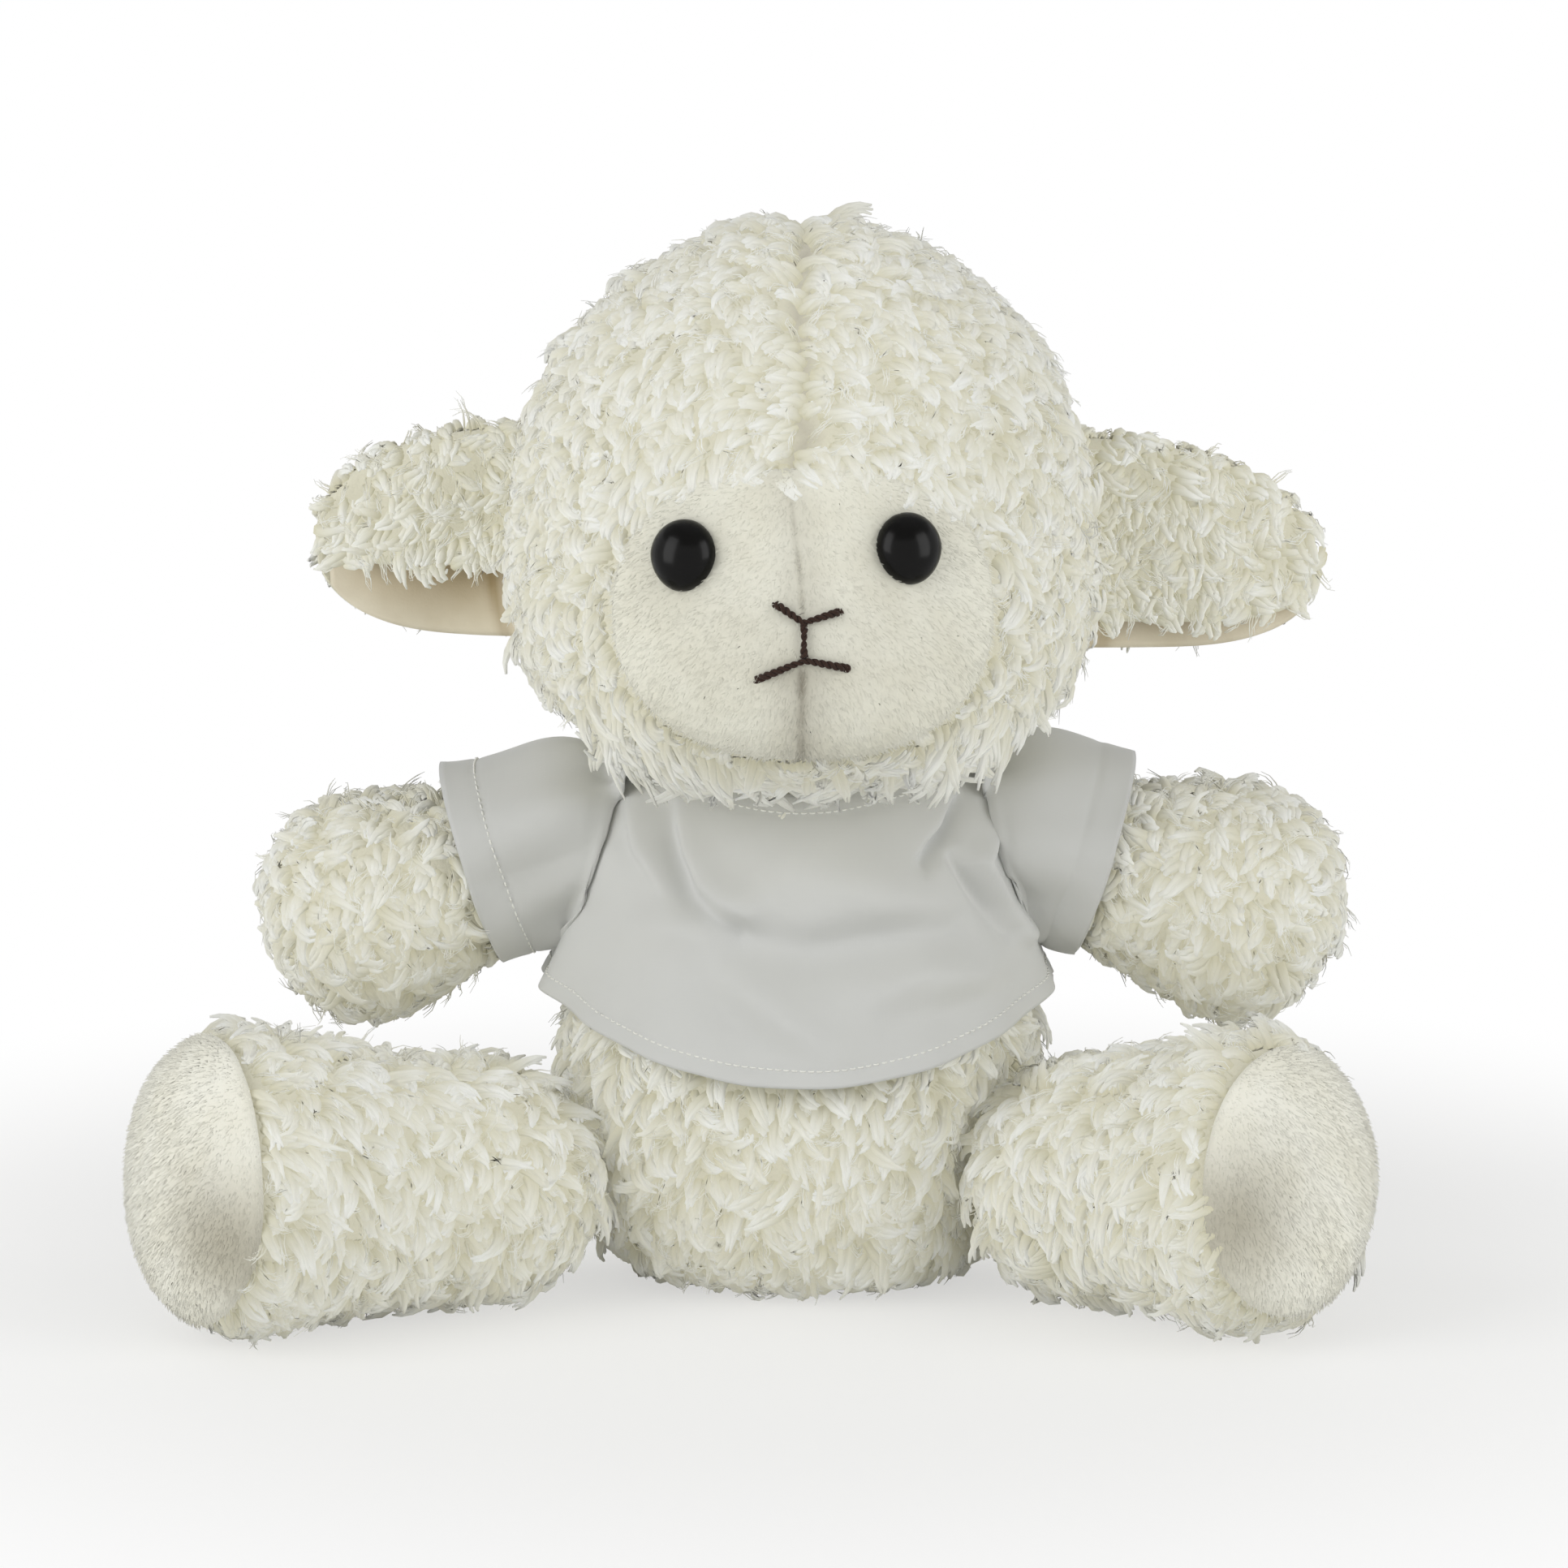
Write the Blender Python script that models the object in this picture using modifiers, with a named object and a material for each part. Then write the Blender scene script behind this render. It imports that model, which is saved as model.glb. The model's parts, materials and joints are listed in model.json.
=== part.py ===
"""Plush sheep sitting upright in a plain white T-shirt.

Metres, +Z up. The toy faces -Y and sits on Z = 0, with its centre seam in the plane X = 0, so its
own left is +X. Left and right in the names are the toy's own. Every stuffed piece is a fleece skin,
sewn shut round a core of fibre filling, and each limb turns in a soft socket of the torso.
"""
import math

import bmesh
import bpy
from mathutils import Matrix, Vector
from mathutils.bvhtree import BVHTree

OBJECT_NAME = "plush_sheep"
SIDES = {"left": 1, "right": -1}

# Cloth and clearances
FLEECE = 0.0026            # fleece backing with its short dense pile pressed down
LINING = 0.0010            # beige ear lining
KNIT = 0.0010              # T-shirt jersey
GAP = 0.0003               # between pieces that touch
TURNING_GAP = 0.0008       # round a piece that turns, where facets pass each other
FLAT_CUT = 0.0005          # how deep the seat presses flat
OVERRUN = 0.0100           # how far a cutter runs past what it cuts
WELD = 0.00003             # points nearer than this are one point

# Torso: a pear with a round dome where the head is sewn on
TORSO_HEIGHT = 0.1190
TORSO_HALF_WIDTH = 0.0575
TORSO_FRONT = 0.0520
TORSO_BACK = 0.0460
TORSO_LEVEL_SHARES = (0.0, 0.0, 0.045, 0.17, 0.36, 0.53, 0.69, 0.82, 0.895)
TORSO_SIDE_SHARES = (0.0, 0.62, 0.85, 0.965, 1.0, 0.97, 0.885, 0.775, 0.61)
TORSO_FRONT_SHARES = (0.0, 0.58, 0.80, 0.93, 1.0, 0.95, 0.81, 0.66, 0.52)
TORSO_BACK_SHARES = (0.0, 0.58, 0.80, 0.94, 1.0, 0.95, 0.82, 0.68, 0.57)
HIP_ROW = 3                # the rows whose width sets where the limbs are sewn on
SHOULDER_ROW = 7
NECK_DOME_RADIUS = 0.0340
NECK_DOME_ANGLES = (40.0, 27.0, 13.0, 0.0)
NECK_HOLE_RADIUS = 0.0140
NECK_SEAM_RADIUS = 0.0200
NECK_SEAM_THICKNESS = 0.0024
NECK_SEAM_SIDES = 6

# Head: wide cheeks, a muzzle that stands forward, a flatter back
NECK_SINK = 0.0070         # how far the head settles over the top of the torso
HEAD_BOTTOM = TORSO_HEIGHT - NECK_SINK
HEAD_HEIGHT = 0.1265
HEAD_HALF_WIDTH = 0.0675
HEAD_FRONT = 0.0675
HEAD_BACK = 0.0570
HEAD_FORWARD = 0.0040
HEAD_LEVEL_SHARES = (0.0, 0.016, 0.055, 0.12, 0.20, 0.285, 0.395, 0.52, 0.65, 0.75, 0.845, 0.93,
                     0.985, 1.0)
HEAD_SIDE_SHARES = (0.0, 0.40, 0.64, 0.83, 0.945, 0.99, 1.0, 0.98, 0.925, 0.835, 0.695, 0.48, 0.24, 0.0)
HEAD_FRONT_SHARES = (0.0, 0.41, 0.71, 0.945, 1.0, 0.985, 0.92, 0.865, 0.82, 0.745, 0.62, 0.43, 0.22, 0.0)
HEAD_BACK_SHARES = (0.0, 0.42, 0.63, 0.81, 0.91, 0.97, 1.0, 1.0, 0.955, 0.875, 0.735, 0.51, 0.26, 0.0)

# Face panel: a smooth shield sewn into the front of the head
FACE_HALF_WIDTH = 0.0405
FACE_HEIGHT = 0.0620
FACE_ABOVE_CHIN = 0.0125
FACE_WIDTH_SHARES = (0.0, 0.42, 0.74, 0.92, 0.985, 1.0, 0.97, 0.88, 0.70, 0.38, 0.0)
FACE_LEVEL_SHARES = (0.0, 0.01, 0.075, 0.20, 0.35, 0.52, 0.72, 0.89, 0.97, 1.0, 1.0)

# Eyes: moulded domes on shanks, held by washers behind the face panel
EYE_DIAMETER = 0.0142
EYE_HEIGHT = 0.0056
EYE_EDGE = 0.0010
EYE_ANGLES = (22.5, 45.0, 67.5, 90.0)
EYE_SPREADS = {"left": 0.0228, "right": 0.0252}
EYE_LEVELS = {"left": 0.0582, "right": 0.0570}
SHANK_DIAMETER = 0.0046
SHANK_LENGTH = 0.0105
WASHER_DIAMETER = 0.0150
WASHER_THICKNESS = 0.0016

# Stitched nose and mouth: brown yarn laid on the face panel
YARN_DIAMETER = 0.0018
NOSE_LEVEL = 0.0428
NOSE_REACHES = {"left": 0.0085, "right": 0.0062}
NOSE_LIFTS = {"left": 0.0027, "right": 0.0043}
MOUTH_LEVEL = 0.0356
MOUTH_REACHES = {"left": 0.0098, "right": 0.0105}
MOUTH_DROPS = {"left": 0.0020, "right": 0.0047}

# Ears: fleece leaves lined in beige, folded forward over themselves
EAR_HALF_HEIGHT = 0.0235
EAR_LEVELS = {"left": 0.0525, "right": 0.0550}
EAR_DEPTH = 0.0052
EAR_ROOT_GAP = 0.0006
EAR_ROOT_EASE_SHARE = 0.30
EAR_LENGTHS = {"left": 0.0485, "right": 0.0415}
EAR_DROOPS = {"left": 0.0060, "right": 0.0025}
EAR_BACK = 0.0020
EAR_FLAP_SHARES = {"left": -0.72, "right": -0.30}
EAR_HEIGHT_SHARES = (1.0, 0.97, 0.92, 0.86, 0.77, 0.63, 0.36)
EAR_LAST_SHARE = 0.96
LINING_FIRST_SHARE = 0.025
LINING_LAST_SHARE = 0.80
EAR_BEND_SHARE = 0.62
EAR_LEAN_SHARE = 0.45

# Where a limb's round root turns in its socket, from its pole out to its widest
ROOT_ANGLES = (180.0, 157.5, 135.0, 112.5, 90.0)

# Arms: short stuffed tubes that swell to a round paw
ARM_ROOT_RADIUS = 0.0200
ARM_REACH = 0.0715
ARM_GIRTH = 0.0275
ARM_SEAT_DEPTH = 0.0120
ARM_LEVEL_SHARE = 0.82
ARM_ALONG_SHARES = (0.17, 0.33, 0.50, 0.66, 0.81, 0.94, 1.0)
ARM_RADIUS_SHARES = (0.685, 0.79, 0.93, 1.0, 0.93, 0.62, 0.0)
ARM_DROOP_ANGLES = {"left": 16.5, "right": 17.5}
ARM_GIRTH_SHARES = {"left": 1.05, "right": 1.0}
ARM_HOLE_RADIUS = 0.0080

# Legs: hips seated deep in the torso, feet that stand on end with a sole patch
LEG_ROOT_RADIUS = 0.0290
LEG_GIRTH = 0.0350
LEG_SEAT_DEPTHS = {"left": 0.0170, "right": 0.0080}
LEG_ALONG_SHARES = (0.20, 0.38, 0.55, 0.71, 0.84, 0.94, 0.985, 1.0)
LEG_RADIUS_SHARES = (0.82, 0.835, 0.93, 1.0, 0.985, 0.80, 0.44, 0.0)
LEG_REACHES = {"left": 0.0635, "right": 0.0760}
LEG_HEADINGS = {"left": 42.0, "right": 28.0}
HIP_HEADING = 24.0
SOLE_START_SHARE = 0.89

# T-shirt: three panels and two sleeves, closed behind with hook and loop tape
SHIRT_EASE = 0.0008
HEM_FLARE = 0.0034
FOLD_DEPTH = 0.0008
FOLD_COUNT = 7
HEM_FRONT_SHARE = 0.380
HEM_SIDE_SHARE = 0.463
HEM_BACK_SHARE = 0.415
NECKLINE_FRONT_SHARE = 0.705
NECKLINE_BACK_SHARE = 0.665
SIDE_SEAM_ANGLE = 0.5
OVERLAP_ANGLE = 11.0
TAPE_THICKNESS = 0.0008
TAPE_ANGLE = 8.0
TAPE_TOP_SHARE = 0.64
TAPE_BOTTOM_SHARE = 0.53
SLEEVE_LENGTHS = {"left": 0.0150, "right": 0.0215}
SLEEVE_ROOT_ANGLE = 122.0
SLEEVE_EASE = 0.0006
SLEEVE_FLARE = 0.0010

# Facets of each kind of piece, and the share of an outline over which its slope is taken
HEAD_FACETS = (26, 16)
HEAD_CORE_FACETS = (20, 12)
TORSO_FACETS = (20, 12)
LIMB_FACETS = (18, 12)
CORE_FACETS = (14, 9)
SOCKET_FACETS = (18, 12)
LINED_FACETS = (12, 8)
NECK_FACETS = (28, 22)
EAR_FACETS = (6, 12)
TURNED_STEPS = 16
YARN_STEPS = 3
ROD_SEGMENTS = 20
SHIRT_FACETS = {"shirt_front": (16, 6), "shirt_back_right": (10, 6), "shirt_back_left": (11, 6)}
TAPE_FACETS = (3, 6)
SLEEVE_FACETS = (18, 4)
SLOPE_STEP = 0.0005
SHARP_ANGLE = 40.0


# Scene and materials

def clear_scene():
    """Start from an empty file."""
    for item in list(bpy.data.objects):
        bpy.data.objects.remove(item, do_unlink=True)


def make_collection(name):
    collection = bpy.data.collections.new(name)
    bpy.context.scene.collection.children.link(collection)
    return collection


def make_material(name, colour, roughness):
    """One Principled surface with the piece's own colour."""
    material = bpy.data.materials.new(name)
    material.use_nodes = True
    shader = material.node_tree.nodes["Principled BSDF"]
    shader.inputs["Base Color"].default_value = (*colour, 1.0)
    shader.inputs["Roughness"].default_value = roughness
    shader.inputs["Metallic"].default_value = 0.0
    material.diffuse_color = (*colour, 1.0)
    return material


COLOURS = {
    "fleece": ((0.70, 0.70, 0.61), 0.95),
    "smooth": ((0.53, 0.51, 0.42), 0.90),
    "sole": ((0.78, 0.77, 0.66), 0.92),
    "lining": ((0.55, 0.47, 0.32), 0.90),
    "filling": ((0.85, 0.85, 0.83), 1.00),
    "eye": ((0.006, 0.006, 0.006), 0.08),
    "washer": ((0.75, 0.75, 0.72), 0.50),
    "yarn": ((0.014, 0.010, 0.007), 0.80),
    "thread": ((0.75, 0.74, 0.68), 0.80),
    "knit": ((0.54, 0.54, 0.50), 0.90),
    "tape": ((0.72, 0.72, 0.70), 0.75),
}


class Workshop:
    """Holds the two collections and the empties that the pieces hang on."""

    def __init__(self):
        self.pieces = make_collection(OBJECT_NAME)
        self.cutters = make_collection(OBJECT_NAME + "_cutters")
        self.pivots = {}
        self.places = {}

    def pivot(self, name, place, parent=None):
        """An empty on a joint's axis."""
        empty = bpy.data.objects.new(name, None)
        empty.empty_display_size = ARM_ROOT_RADIUS
        empty.location = place
        if parent:
            empty.parent = self.pivots[parent]
            empty.matrix_parent_inverse = Matrix.Translation(-self.places[parent])
        self.pieces.objects.link(empty)
        self.places[name] = place.copy()
        self.pivots[name] = empty
        return empty

    def piece(self, name, mesh, surface, pivot=None):
        """A sub-part with its own material, hung on its pivot."""
        item = bpy.data.objects.new(name, mesh)
        self.pieces.objects.link(item)
        colour, roughness = COLOURS[surface]
        item.data.materials.append(make_material(name + "_" + surface, colour, roughness))
        if pivot:
            item.parent = self.pivots[pivot]
            item.matrix_parent_inverse = Matrix.Translation(-self.places[pivot])
        return item

    def cutter(self, name, mesh):
        """A tool body that only cuts."""
        item = bpy.data.objects.new(name, mesh)
        self.cutters.objects.link(item)
        item.hide_render = True
        item.display_type = "WIRE"
        return item


def boolean(target, tool, operation="DIFFERENCE"):
    step = target.modifiers.new(operation.lower() + "_" + tool.name, "BOOLEAN")
    step.operation = operation
    step.solver = "EXACT"
    step.object = tool


def mesh_from(bm, name, smooth=True):
    mesh = bpy.data.meshes.new(name)
    bm.normal_update()
    bmesh.ops.recalc_face_normals(bm, faces=bm.faces)
    bm.to_mesh(mesh)
    bm.free()
    if smooth:
        mesh.shade_smooth()
        mesh.set_sharp_from_angle(angle=math.radians(SHARP_ANGLE))
    return mesh


# Stuffed forms

class Form:
    """A swelling body on a straight axis.

    Each row is (along, side, front, back): how far up the axis it lies and how far the body reaches
    sideways, forwards and backwards there. The first and last rows are the poles.
    """

    def __init__(self, rows, origin, side, front, axis):
        self.rows = rows
        self.origin = origin
        self.side = side
        self.front = front
        self.axis = axis

    def row(self, share):
        """The smooth outline at a share of the way from the first pole to the last."""
        place = min(max(share, 0.0), 1.0) * (len(self.rows) - 1)
        index = min(int(place), len(self.rows) - 2)
        step = place - index
        here = self.rows[index]
        after = self.rows[index + 1]
        before = self.rows[index - 1] if index > 0 else self.mirrored(self.rows[1])
        last = index + 2 == len(self.rows)
        beyond = self.mirrored(self.rows[-2]) if last else self.rows[index + 2]
        return [curve_value(*four, step) for four in zip(before, here, after, beyond)]

    @staticmethod
    def mirrored(row):
        """The row on the far side of a pole, so that the outline leaves the pole square."""
        return (row[0], -row[1], -row[2], -row[3])

    def offset_row(self, share, grow):
        """The outline moved outwards by a distance, square to itself."""
        low = self.row(share - SLOPE_STEP)
        high = self.row(share + SLOPE_STEP)
        along = high[0] - low[0]
        here = self.row(share)
        sizes = []
        lifts = []
        for index in (1, 2, 3):
            run = high[index] - low[index]
            length = math.hypot(run, along) or 1.0
            sizes.append(here[index] + grow * along / length)
            lifts.append(grow * run / length)
        return here[0], sizes, lifts

    def point(self, share, turn, grow=0.0):
        """A point of the surface: turn runs from the side axis towards the front."""
        if share <= 0.0 or share >= 1.0:
            along = self.row(share)[0] + (grow if share >= 1.0 else -grow)
            return self.origin + self.axis * along
        along, sizes, lifts = self.offset_row(share, grow)
        across = math.cos(turn)
        ahead = math.sin(turn)
        depth = sizes[1] if ahead >= 0 else sizes[2]
        lift = lifts[0] * across ** 2 + (lifts[1] if ahead >= 0 else lifts[2]) * ahead ** 2
        place = self.origin + self.axis * (along - lift)
        return place + self.side * (sizes[0] * across) + self.front * (depth * ahead)

    def solid(self, name, facets, grow=0.0):
        """The closed body: a ball whose rings take the outline's sizes."""
        bm = bmesh.new()
        bmesh.ops.create_uvsphere(bm, u_segments=facets[0], v_segments=facets[1], radius=1.0)
        for vert in bm.verts:
            share = math.acos(min(max(-vert.co.z, -1.0), 1.0)) / math.pi
            vert.co = self.point(share, math.atan2(vert.co.y, vert.co.x), grow)
        return mesh_from(bm, name)

    def sheet(self, name, shares, turns, grow, thickness, facets):
        """Cloth over the form: shares and grow are functions of turn and of the way along it."""
        bm = bmesh.new()
        bmesh.ops.create_grid(bm, x_segments=facets[0], y_segments=facets[1], size=1.0)
        for vert in bm.verts:
            across = (vert.co.x + 1.0) / 2.0
            along = (vert.co.y + 1.0) / 2.0
            turn = turns[0] + (turns[1] - turns[0]) * across
            vert.co = self.point(shares(turn, along), turn, grow(turn, along) + thickness / 2.0)
        bmesh.ops.remove_doubles(bm, verts=bm.verts, dist=WELD)
        return mesh_from(bm, name)


def curve_value(before, here, after, beyond, step):
    """Catmull-Rom value between two rows."""
    rise = after - before
    fall = beyond - here
    square = step * step
    cube = square * step
    return (here * (2 * cube - 3 * square + 1) + after * (3 * square - 2 * cube)
            + 0.5 * rise * (cube - 2 * square + step) + 0.5 * fall * (cube - square))


def solidify(item, thickness):
    step = item.modifiers.new("cloth_thickness", "SOLIDIFY")
    step.thickness = thickness
    step.offset = 0.0
    step.use_even_offset = False


def ball(workshop, name, centre, radius, facets=SOCKET_FACETS):
    """A round cutter about a pivot."""
    bm = bmesh.new()
    bmesh.ops.create_uvsphere(bm, u_segments=facets[0], v_segments=facets[1], radius=radius)
    bmesh.ops.translate(bm, verts=bm.verts, vec=centre)
    return workshop.cutter(name, mesh_from(bm, name))


def rod(workshop, name, start, end, radius, segments=ROD_SEGMENTS):
    """A straight round cutter between two points."""
    bm = bmesh.new()
    line = end - start
    bmesh.ops.create_cone(bm, cap_ends=True, segments=segments, radius1=radius, radius2=radius,
                          depth=line.length)
    turn = line.to_track_quat("Z", "Y").to_matrix().to_4x4()
    bmesh.ops.transform(bm, verts=bm.verts, matrix=Matrix.Translation((start + end) / 2.0) @ turn)
    return workshop.cutter(name, mesh_from(bm, name, smooth=False))


# Where things lie

def torso_form():
    drop = TORSO_HEIGHT + FLAT_CUT
    rows = []
    shares = zip(TORSO_LEVEL_SHARES, TORSO_SIDE_SHARES, TORSO_FRONT_SHARES, TORSO_BACK_SHARES)
    for level, side, front, back in shares:
        rows.append((level * drop - FLAT_CUT, side * TORSO_HALF_WIDTH, front * TORSO_FRONT,
                     back * TORSO_BACK))
    for angle in NECK_DOME_ANGLES:
        reach = NECK_DOME_RADIUS * math.sin(math.radians(angle))
        rise = NECK_DOME_RADIUS * (math.cos(math.radians(angle)) - 1.0)
        rows.append((TORSO_HEIGHT + rise, reach, reach, reach))
    return Form(rows, Vector(), Vector((1, 0, 0)), Vector((0, -1, 0)), Vector((0, 0, 1)))


def head_form():
    rows = []
    shares = zip(HEAD_LEVEL_SHARES, HEAD_SIDE_SHARES, HEAD_FRONT_SHARES, HEAD_BACK_SHARES)
    for level, side, front, back in shares:
        rows.append((level * HEAD_HEIGHT, side * HEAD_HALF_WIDTH, front * HEAD_FRONT, back * HEAD_BACK))
    origin = Vector((0, -HEAD_FORWARD, HEAD_BOTTOM))
    return Form(rows, origin, Vector((1, 0, 0)), Vector((0, -1, 0)), Vector((0, 0, 1)))


def limb_form(pivot, heading, tilt, mirror, root_radius, alongs, radii):
    """A limb from a round root about its pivot to its rounded end."""
    flat = Vector((mirror * math.cos(heading), -math.sin(heading), 0))
    axis = flat * math.cos(tilt) + Vector((0, 0, math.sin(tilt)))
    side = axis.cross(Vector((0, 0, 1))).normalized()
    rows = []
    for angle in ROOT_ANGLES:
        size = root_radius * math.sin(math.radians(angle))
        rows.append((root_radius * math.cos(math.radians(angle)), size, size, size))
    for along, radius in zip(alongs, radii):
        rows.append((along, radius, radius, radius))
    return Form(rows, pivot, side, side.cross(axis), axis)


def shoulder_place(torso, mirror):
    row = torso.rows[SHOULDER_ROW]
    reach = row[1] + ARM_ROOT_RADIUS - ARM_SEAT_DEPTH
    return Vector((mirror * reach, 0, ARM_LEVEL_SHARE * TORSO_HEIGHT))


def hip_place(torso, name):
    """The hip's centre, at the height where its ball presses into the seat plane."""
    mirror = SIDES[name]
    row = torso.rows[HIP_ROW]
    reach = row[1] + LEG_ROOT_RADIUS - LEG_SEAT_DEPTHS[name]
    heading = math.radians(HIP_HEADING)
    return Vector((mirror * reach * math.cos(heading), -reach * math.sin(heading),
                   LEG_ROOT_RADIUS - FLAT_CUT))


def arm_form(torso, name):
    girth = ARM_GIRTH * ARM_GIRTH_SHARES[name]
    alongs = [share * ARM_REACH for share in ARM_ALONG_SHARES]
    radii = [share * girth for share in ARM_RADIUS_SHARES]
    return limb_form(shoulder_place(torso, SIDES[name]), 0.0, -math.radians(ARM_DROOP_ANGLES[name]),
                     SIDES[name], ARM_ROOT_RADIUS, alongs, radii)


def leg_form(torso, name):
    reach = LEG_REACHES[name]
    alongs = [share * reach for share in LEG_ALONG_SHARES]
    radii = [share * LEG_GIRTH for share in LEG_RADIUS_SHARES]
    widest = LEG_ALONG_SHARES[LEG_RADIUS_SHARES.index(1.0)] * reach
    tilt = math.asin((LEG_GIRTH - LEG_ROOT_RADIUS) / widest)
    return limb_form(hip_place(torso, name), math.radians(LEG_HEADINGS[name]), tilt,
                     SIDES[name], LEG_ROOT_RADIUS, alongs, radii)


def neck_pivot():
    return Vector((0, 0, TORSO_HEIGHT - NECK_DOME_RADIUS))


# Torso and limbs

def seat_plane(workshop):
    """Everything below the seat plane is pressed flat."""
    size = 2.0 * (TORSO_HALF_WIDTH + LEG_ROOT_RADIUS) + 2.0 * max(LEG_REACHES.values())
    bm = bmesh.new()
    bmesh.ops.create_cube(bm, size=1.0)
    bmesh.ops.scale(bm, verts=bm.verts, vec=(size, size, OVERRUN))
    bmesh.ops.translate(bm, verts=bm.verts, vec=(0, 0, -OVERRUN / 2.0))
    return workshop.cutter("seat_plane", mesh_from(bm, "seat_plane", smooth=False))


def socket_sizes(torso):
    """Centre and radius of each limb's soft socket in the torso."""
    sockets = {}
    for name, mirror in SIDES.items():
        sleeve = ARM_ROOT_RADIUS + SLEEVE_EASE + KNIT
        sockets["shoulder_" + name] = (shoulder_place(torso, mirror), sleeve + TURNING_GAP)
        sockets["hip_" + name] = (hip_place(torso, name), LEG_ROOT_RADIUS + TURNING_GAP)
    return sockets


def arm_lane(workshop, torso, name, hand, radius):
    """The room that a sleeve takes just outside its shoulder."""
    form = arm_form(torso, hand)
    end = form.origin + form.axis * (radius + SLEEVE_LENGTHS[hand])
    return rod(workshop, name, form.origin, end, radius)


def make_torso(workshop, torso, seat):
    sockets = socket_sizes(torso)
    skin = workshop.piece("body_skin", torso.solid("body_skin", TORSO_FACETS), "fleece")
    cavity = workshop.cutter("body_cavity", torso.solid("body_cavity", CORE_FACETS, -FLEECE))
    core = workshop.piece("body_stuffing", torso.solid("body_stuffing", CORE_FACETS, -FLEECE - 3 * GAP),
                          "filling")
    for name, (centre, radius) in sockets.items():
        boolean(skin, ball(workshop, name + "_socket", centre, radius))
        lined = ball(workshop, name + "_lined", centre, radius + FLEECE, LINED_FACETS)
        boolean(cavity, lined)
        filled = ball(workshop, name + "_filled", centre, radius + FLEECE + 2 * GAP, LINED_FACETS)
        boolean(core, filled)
    boolean(skin, cavity)
    for hand in SIDES:
        radius = sockets["shoulder_" + hand][1]
        boolean(skin, arm_lane(workshop, torso, "body_arm_lane_" + hand, hand, radius))
    top = Vector((0, 0, TORSO_HEIGHT))
    boolean(skin, rod(workshop, "body_neck_hole", top - Vector((0, 0, OVERRUN)),
                      top + Vector((0, 0, OVERRUN)), NECK_HOLE_RADIUS))
    boolean(skin, seat)


def make_arm(workshop, torso, name):
    form = arm_form(torso, name)
    pivot = "shoulder_" + name + "_pivot"
    workshop.pivot(pivot, form.origin)
    skin = workshop.piece("arm_" + name + "_skin", form.solid("arm_skin", LIMB_FACETS), "fleece", pivot)
    hollow = form.solid("arm_cavity", CORE_FACETS, -FLEECE)
    boolean(skin, workshop.cutter("arm_" + name + "_cavity", hollow))
    root = form.point(0.0, 0.0)
    boolean(skin, rod(workshop, "arm_" + name + "_hole", root - form.axis * OVERRUN,
                      root + form.axis * (FLEECE + ARM_HOLE_RADIUS / 2.0), ARM_HOLE_RADIUS))
    filling = form.solid("arm_stuffing", CORE_FACETS, -FLEECE - GAP)
    workshop.piece("arm_" + name + "_stuffing", filling, "filling", pivot)
    make_sleeve(workshop, form, name, pivot)


def make_leg(workshop, torso, name, seat):
    form = leg_form(torso, name)
    pivot = "hip_" + name + "_pivot"
    workshop.pivot(pivot, form.origin)
    hollow = workshop.cutter("leg_" + name + "_cavity", form.solid("leg_cavity", CORE_FACETS, -FLEECE))
    start = form.origin + form.axis * (SOLE_START_SHARE * LEG_REACHES[name])
    end = form.origin + form.axis * (LEG_REACHES[name] + OVERRUN)
    wide = LEG_GIRTH + OVERRUN
    foot_end = rod(workshop, "sole_" + name + "_region", start, end, wide)
    shank = rod(workshop, "leg_" + name + "_trim", start - form.axis * GAP, end, wide)
    skin = workshop.piece("leg_" + name + "_skin", form.solid("leg_skin", LIMB_FACETS), "fleece", pivot)
    boolean(skin, hollow)
    boolean(skin, shank)
    boolean(skin, seat)
    sole = workshop.piece("sole_" + name, form.solid("sole", LIMB_FACETS), "sole", pivot)
    boolean(sole, hollow)
    boolean(sole, foot_end, "INTERSECT")
    boolean(sole, seat)
    filling = form.solid("leg_stuffing", CORE_FACETS, -FLEECE - GAP)
    workshop.piece("leg_" + name + "_stuffing", filling, "filling", pivot)


# Head

def face_shield(workshop, head, name, margin):
    """A prism through the front of the head with the face panel's outline."""
    chin = head.origin.z + FACE_ABOVE_CHIN
    outline = []
    for width, level in zip(FACE_WIDTH_SHARES, FACE_LEVEL_SHARES):
        outline.append((width * FACE_HALF_WIDTH, chin + level * FACE_HEIGHT))
    points = outline + [(-x, z) for x, z in reversed(outline[1:-1])]
    middle = Vector((0, chin + FACE_HEIGHT / 2.0))
    bm = bmesh.new()
    bmesh.ops.create_cone(bm, cap_ends=True, segments=len(points), radius1=1.0, radius2=1.0, depth=2.0)
    verts = {True: [], False: []}
    for vert in bm.verts:
        verts[vert.co.z > 0].append(vert)
    for far, ring in verts.items():
        ring.sort(key=lambda vert: math.atan2(vert.co.y, vert.co.x))
        for vert, point in zip(ring, points):
            away = Vector(point) - middle
            flat = middle + away * (1.0 + margin / away.length)
            depth = -HEAD_FORWARD if far else -HEAD_FORWARD - HEAD_FRONT - OVERRUN
            vert.co = Vector((flat.x, depth, flat.y))
    return workshop.cutter(name, mesh_from(bm, name, smooth=False))


def head_surface(head):
    """A tree that finds where a line meets the head."""
    mesh = head.solid("head_surface", HEAD_FACETS)
    bm = bmesh.new()
    bm.from_mesh(mesh)
    tree = BVHTree.FromBMesh(bm)
    bm.free()
    bpy.data.meshes.remove(mesh)
    return tree


def on_face(tree, x, z):
    """The point and outward direction on the front of the head, straight behind (x, z)."""
    start = Vector((x, -HEAD_FRONT - HEAD_FORWARD - OVERRUN, z))
    place, normal, _, _ = tree.ray_cast(start, Vector((0, 1, 0)))
    return place, normal


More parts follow.
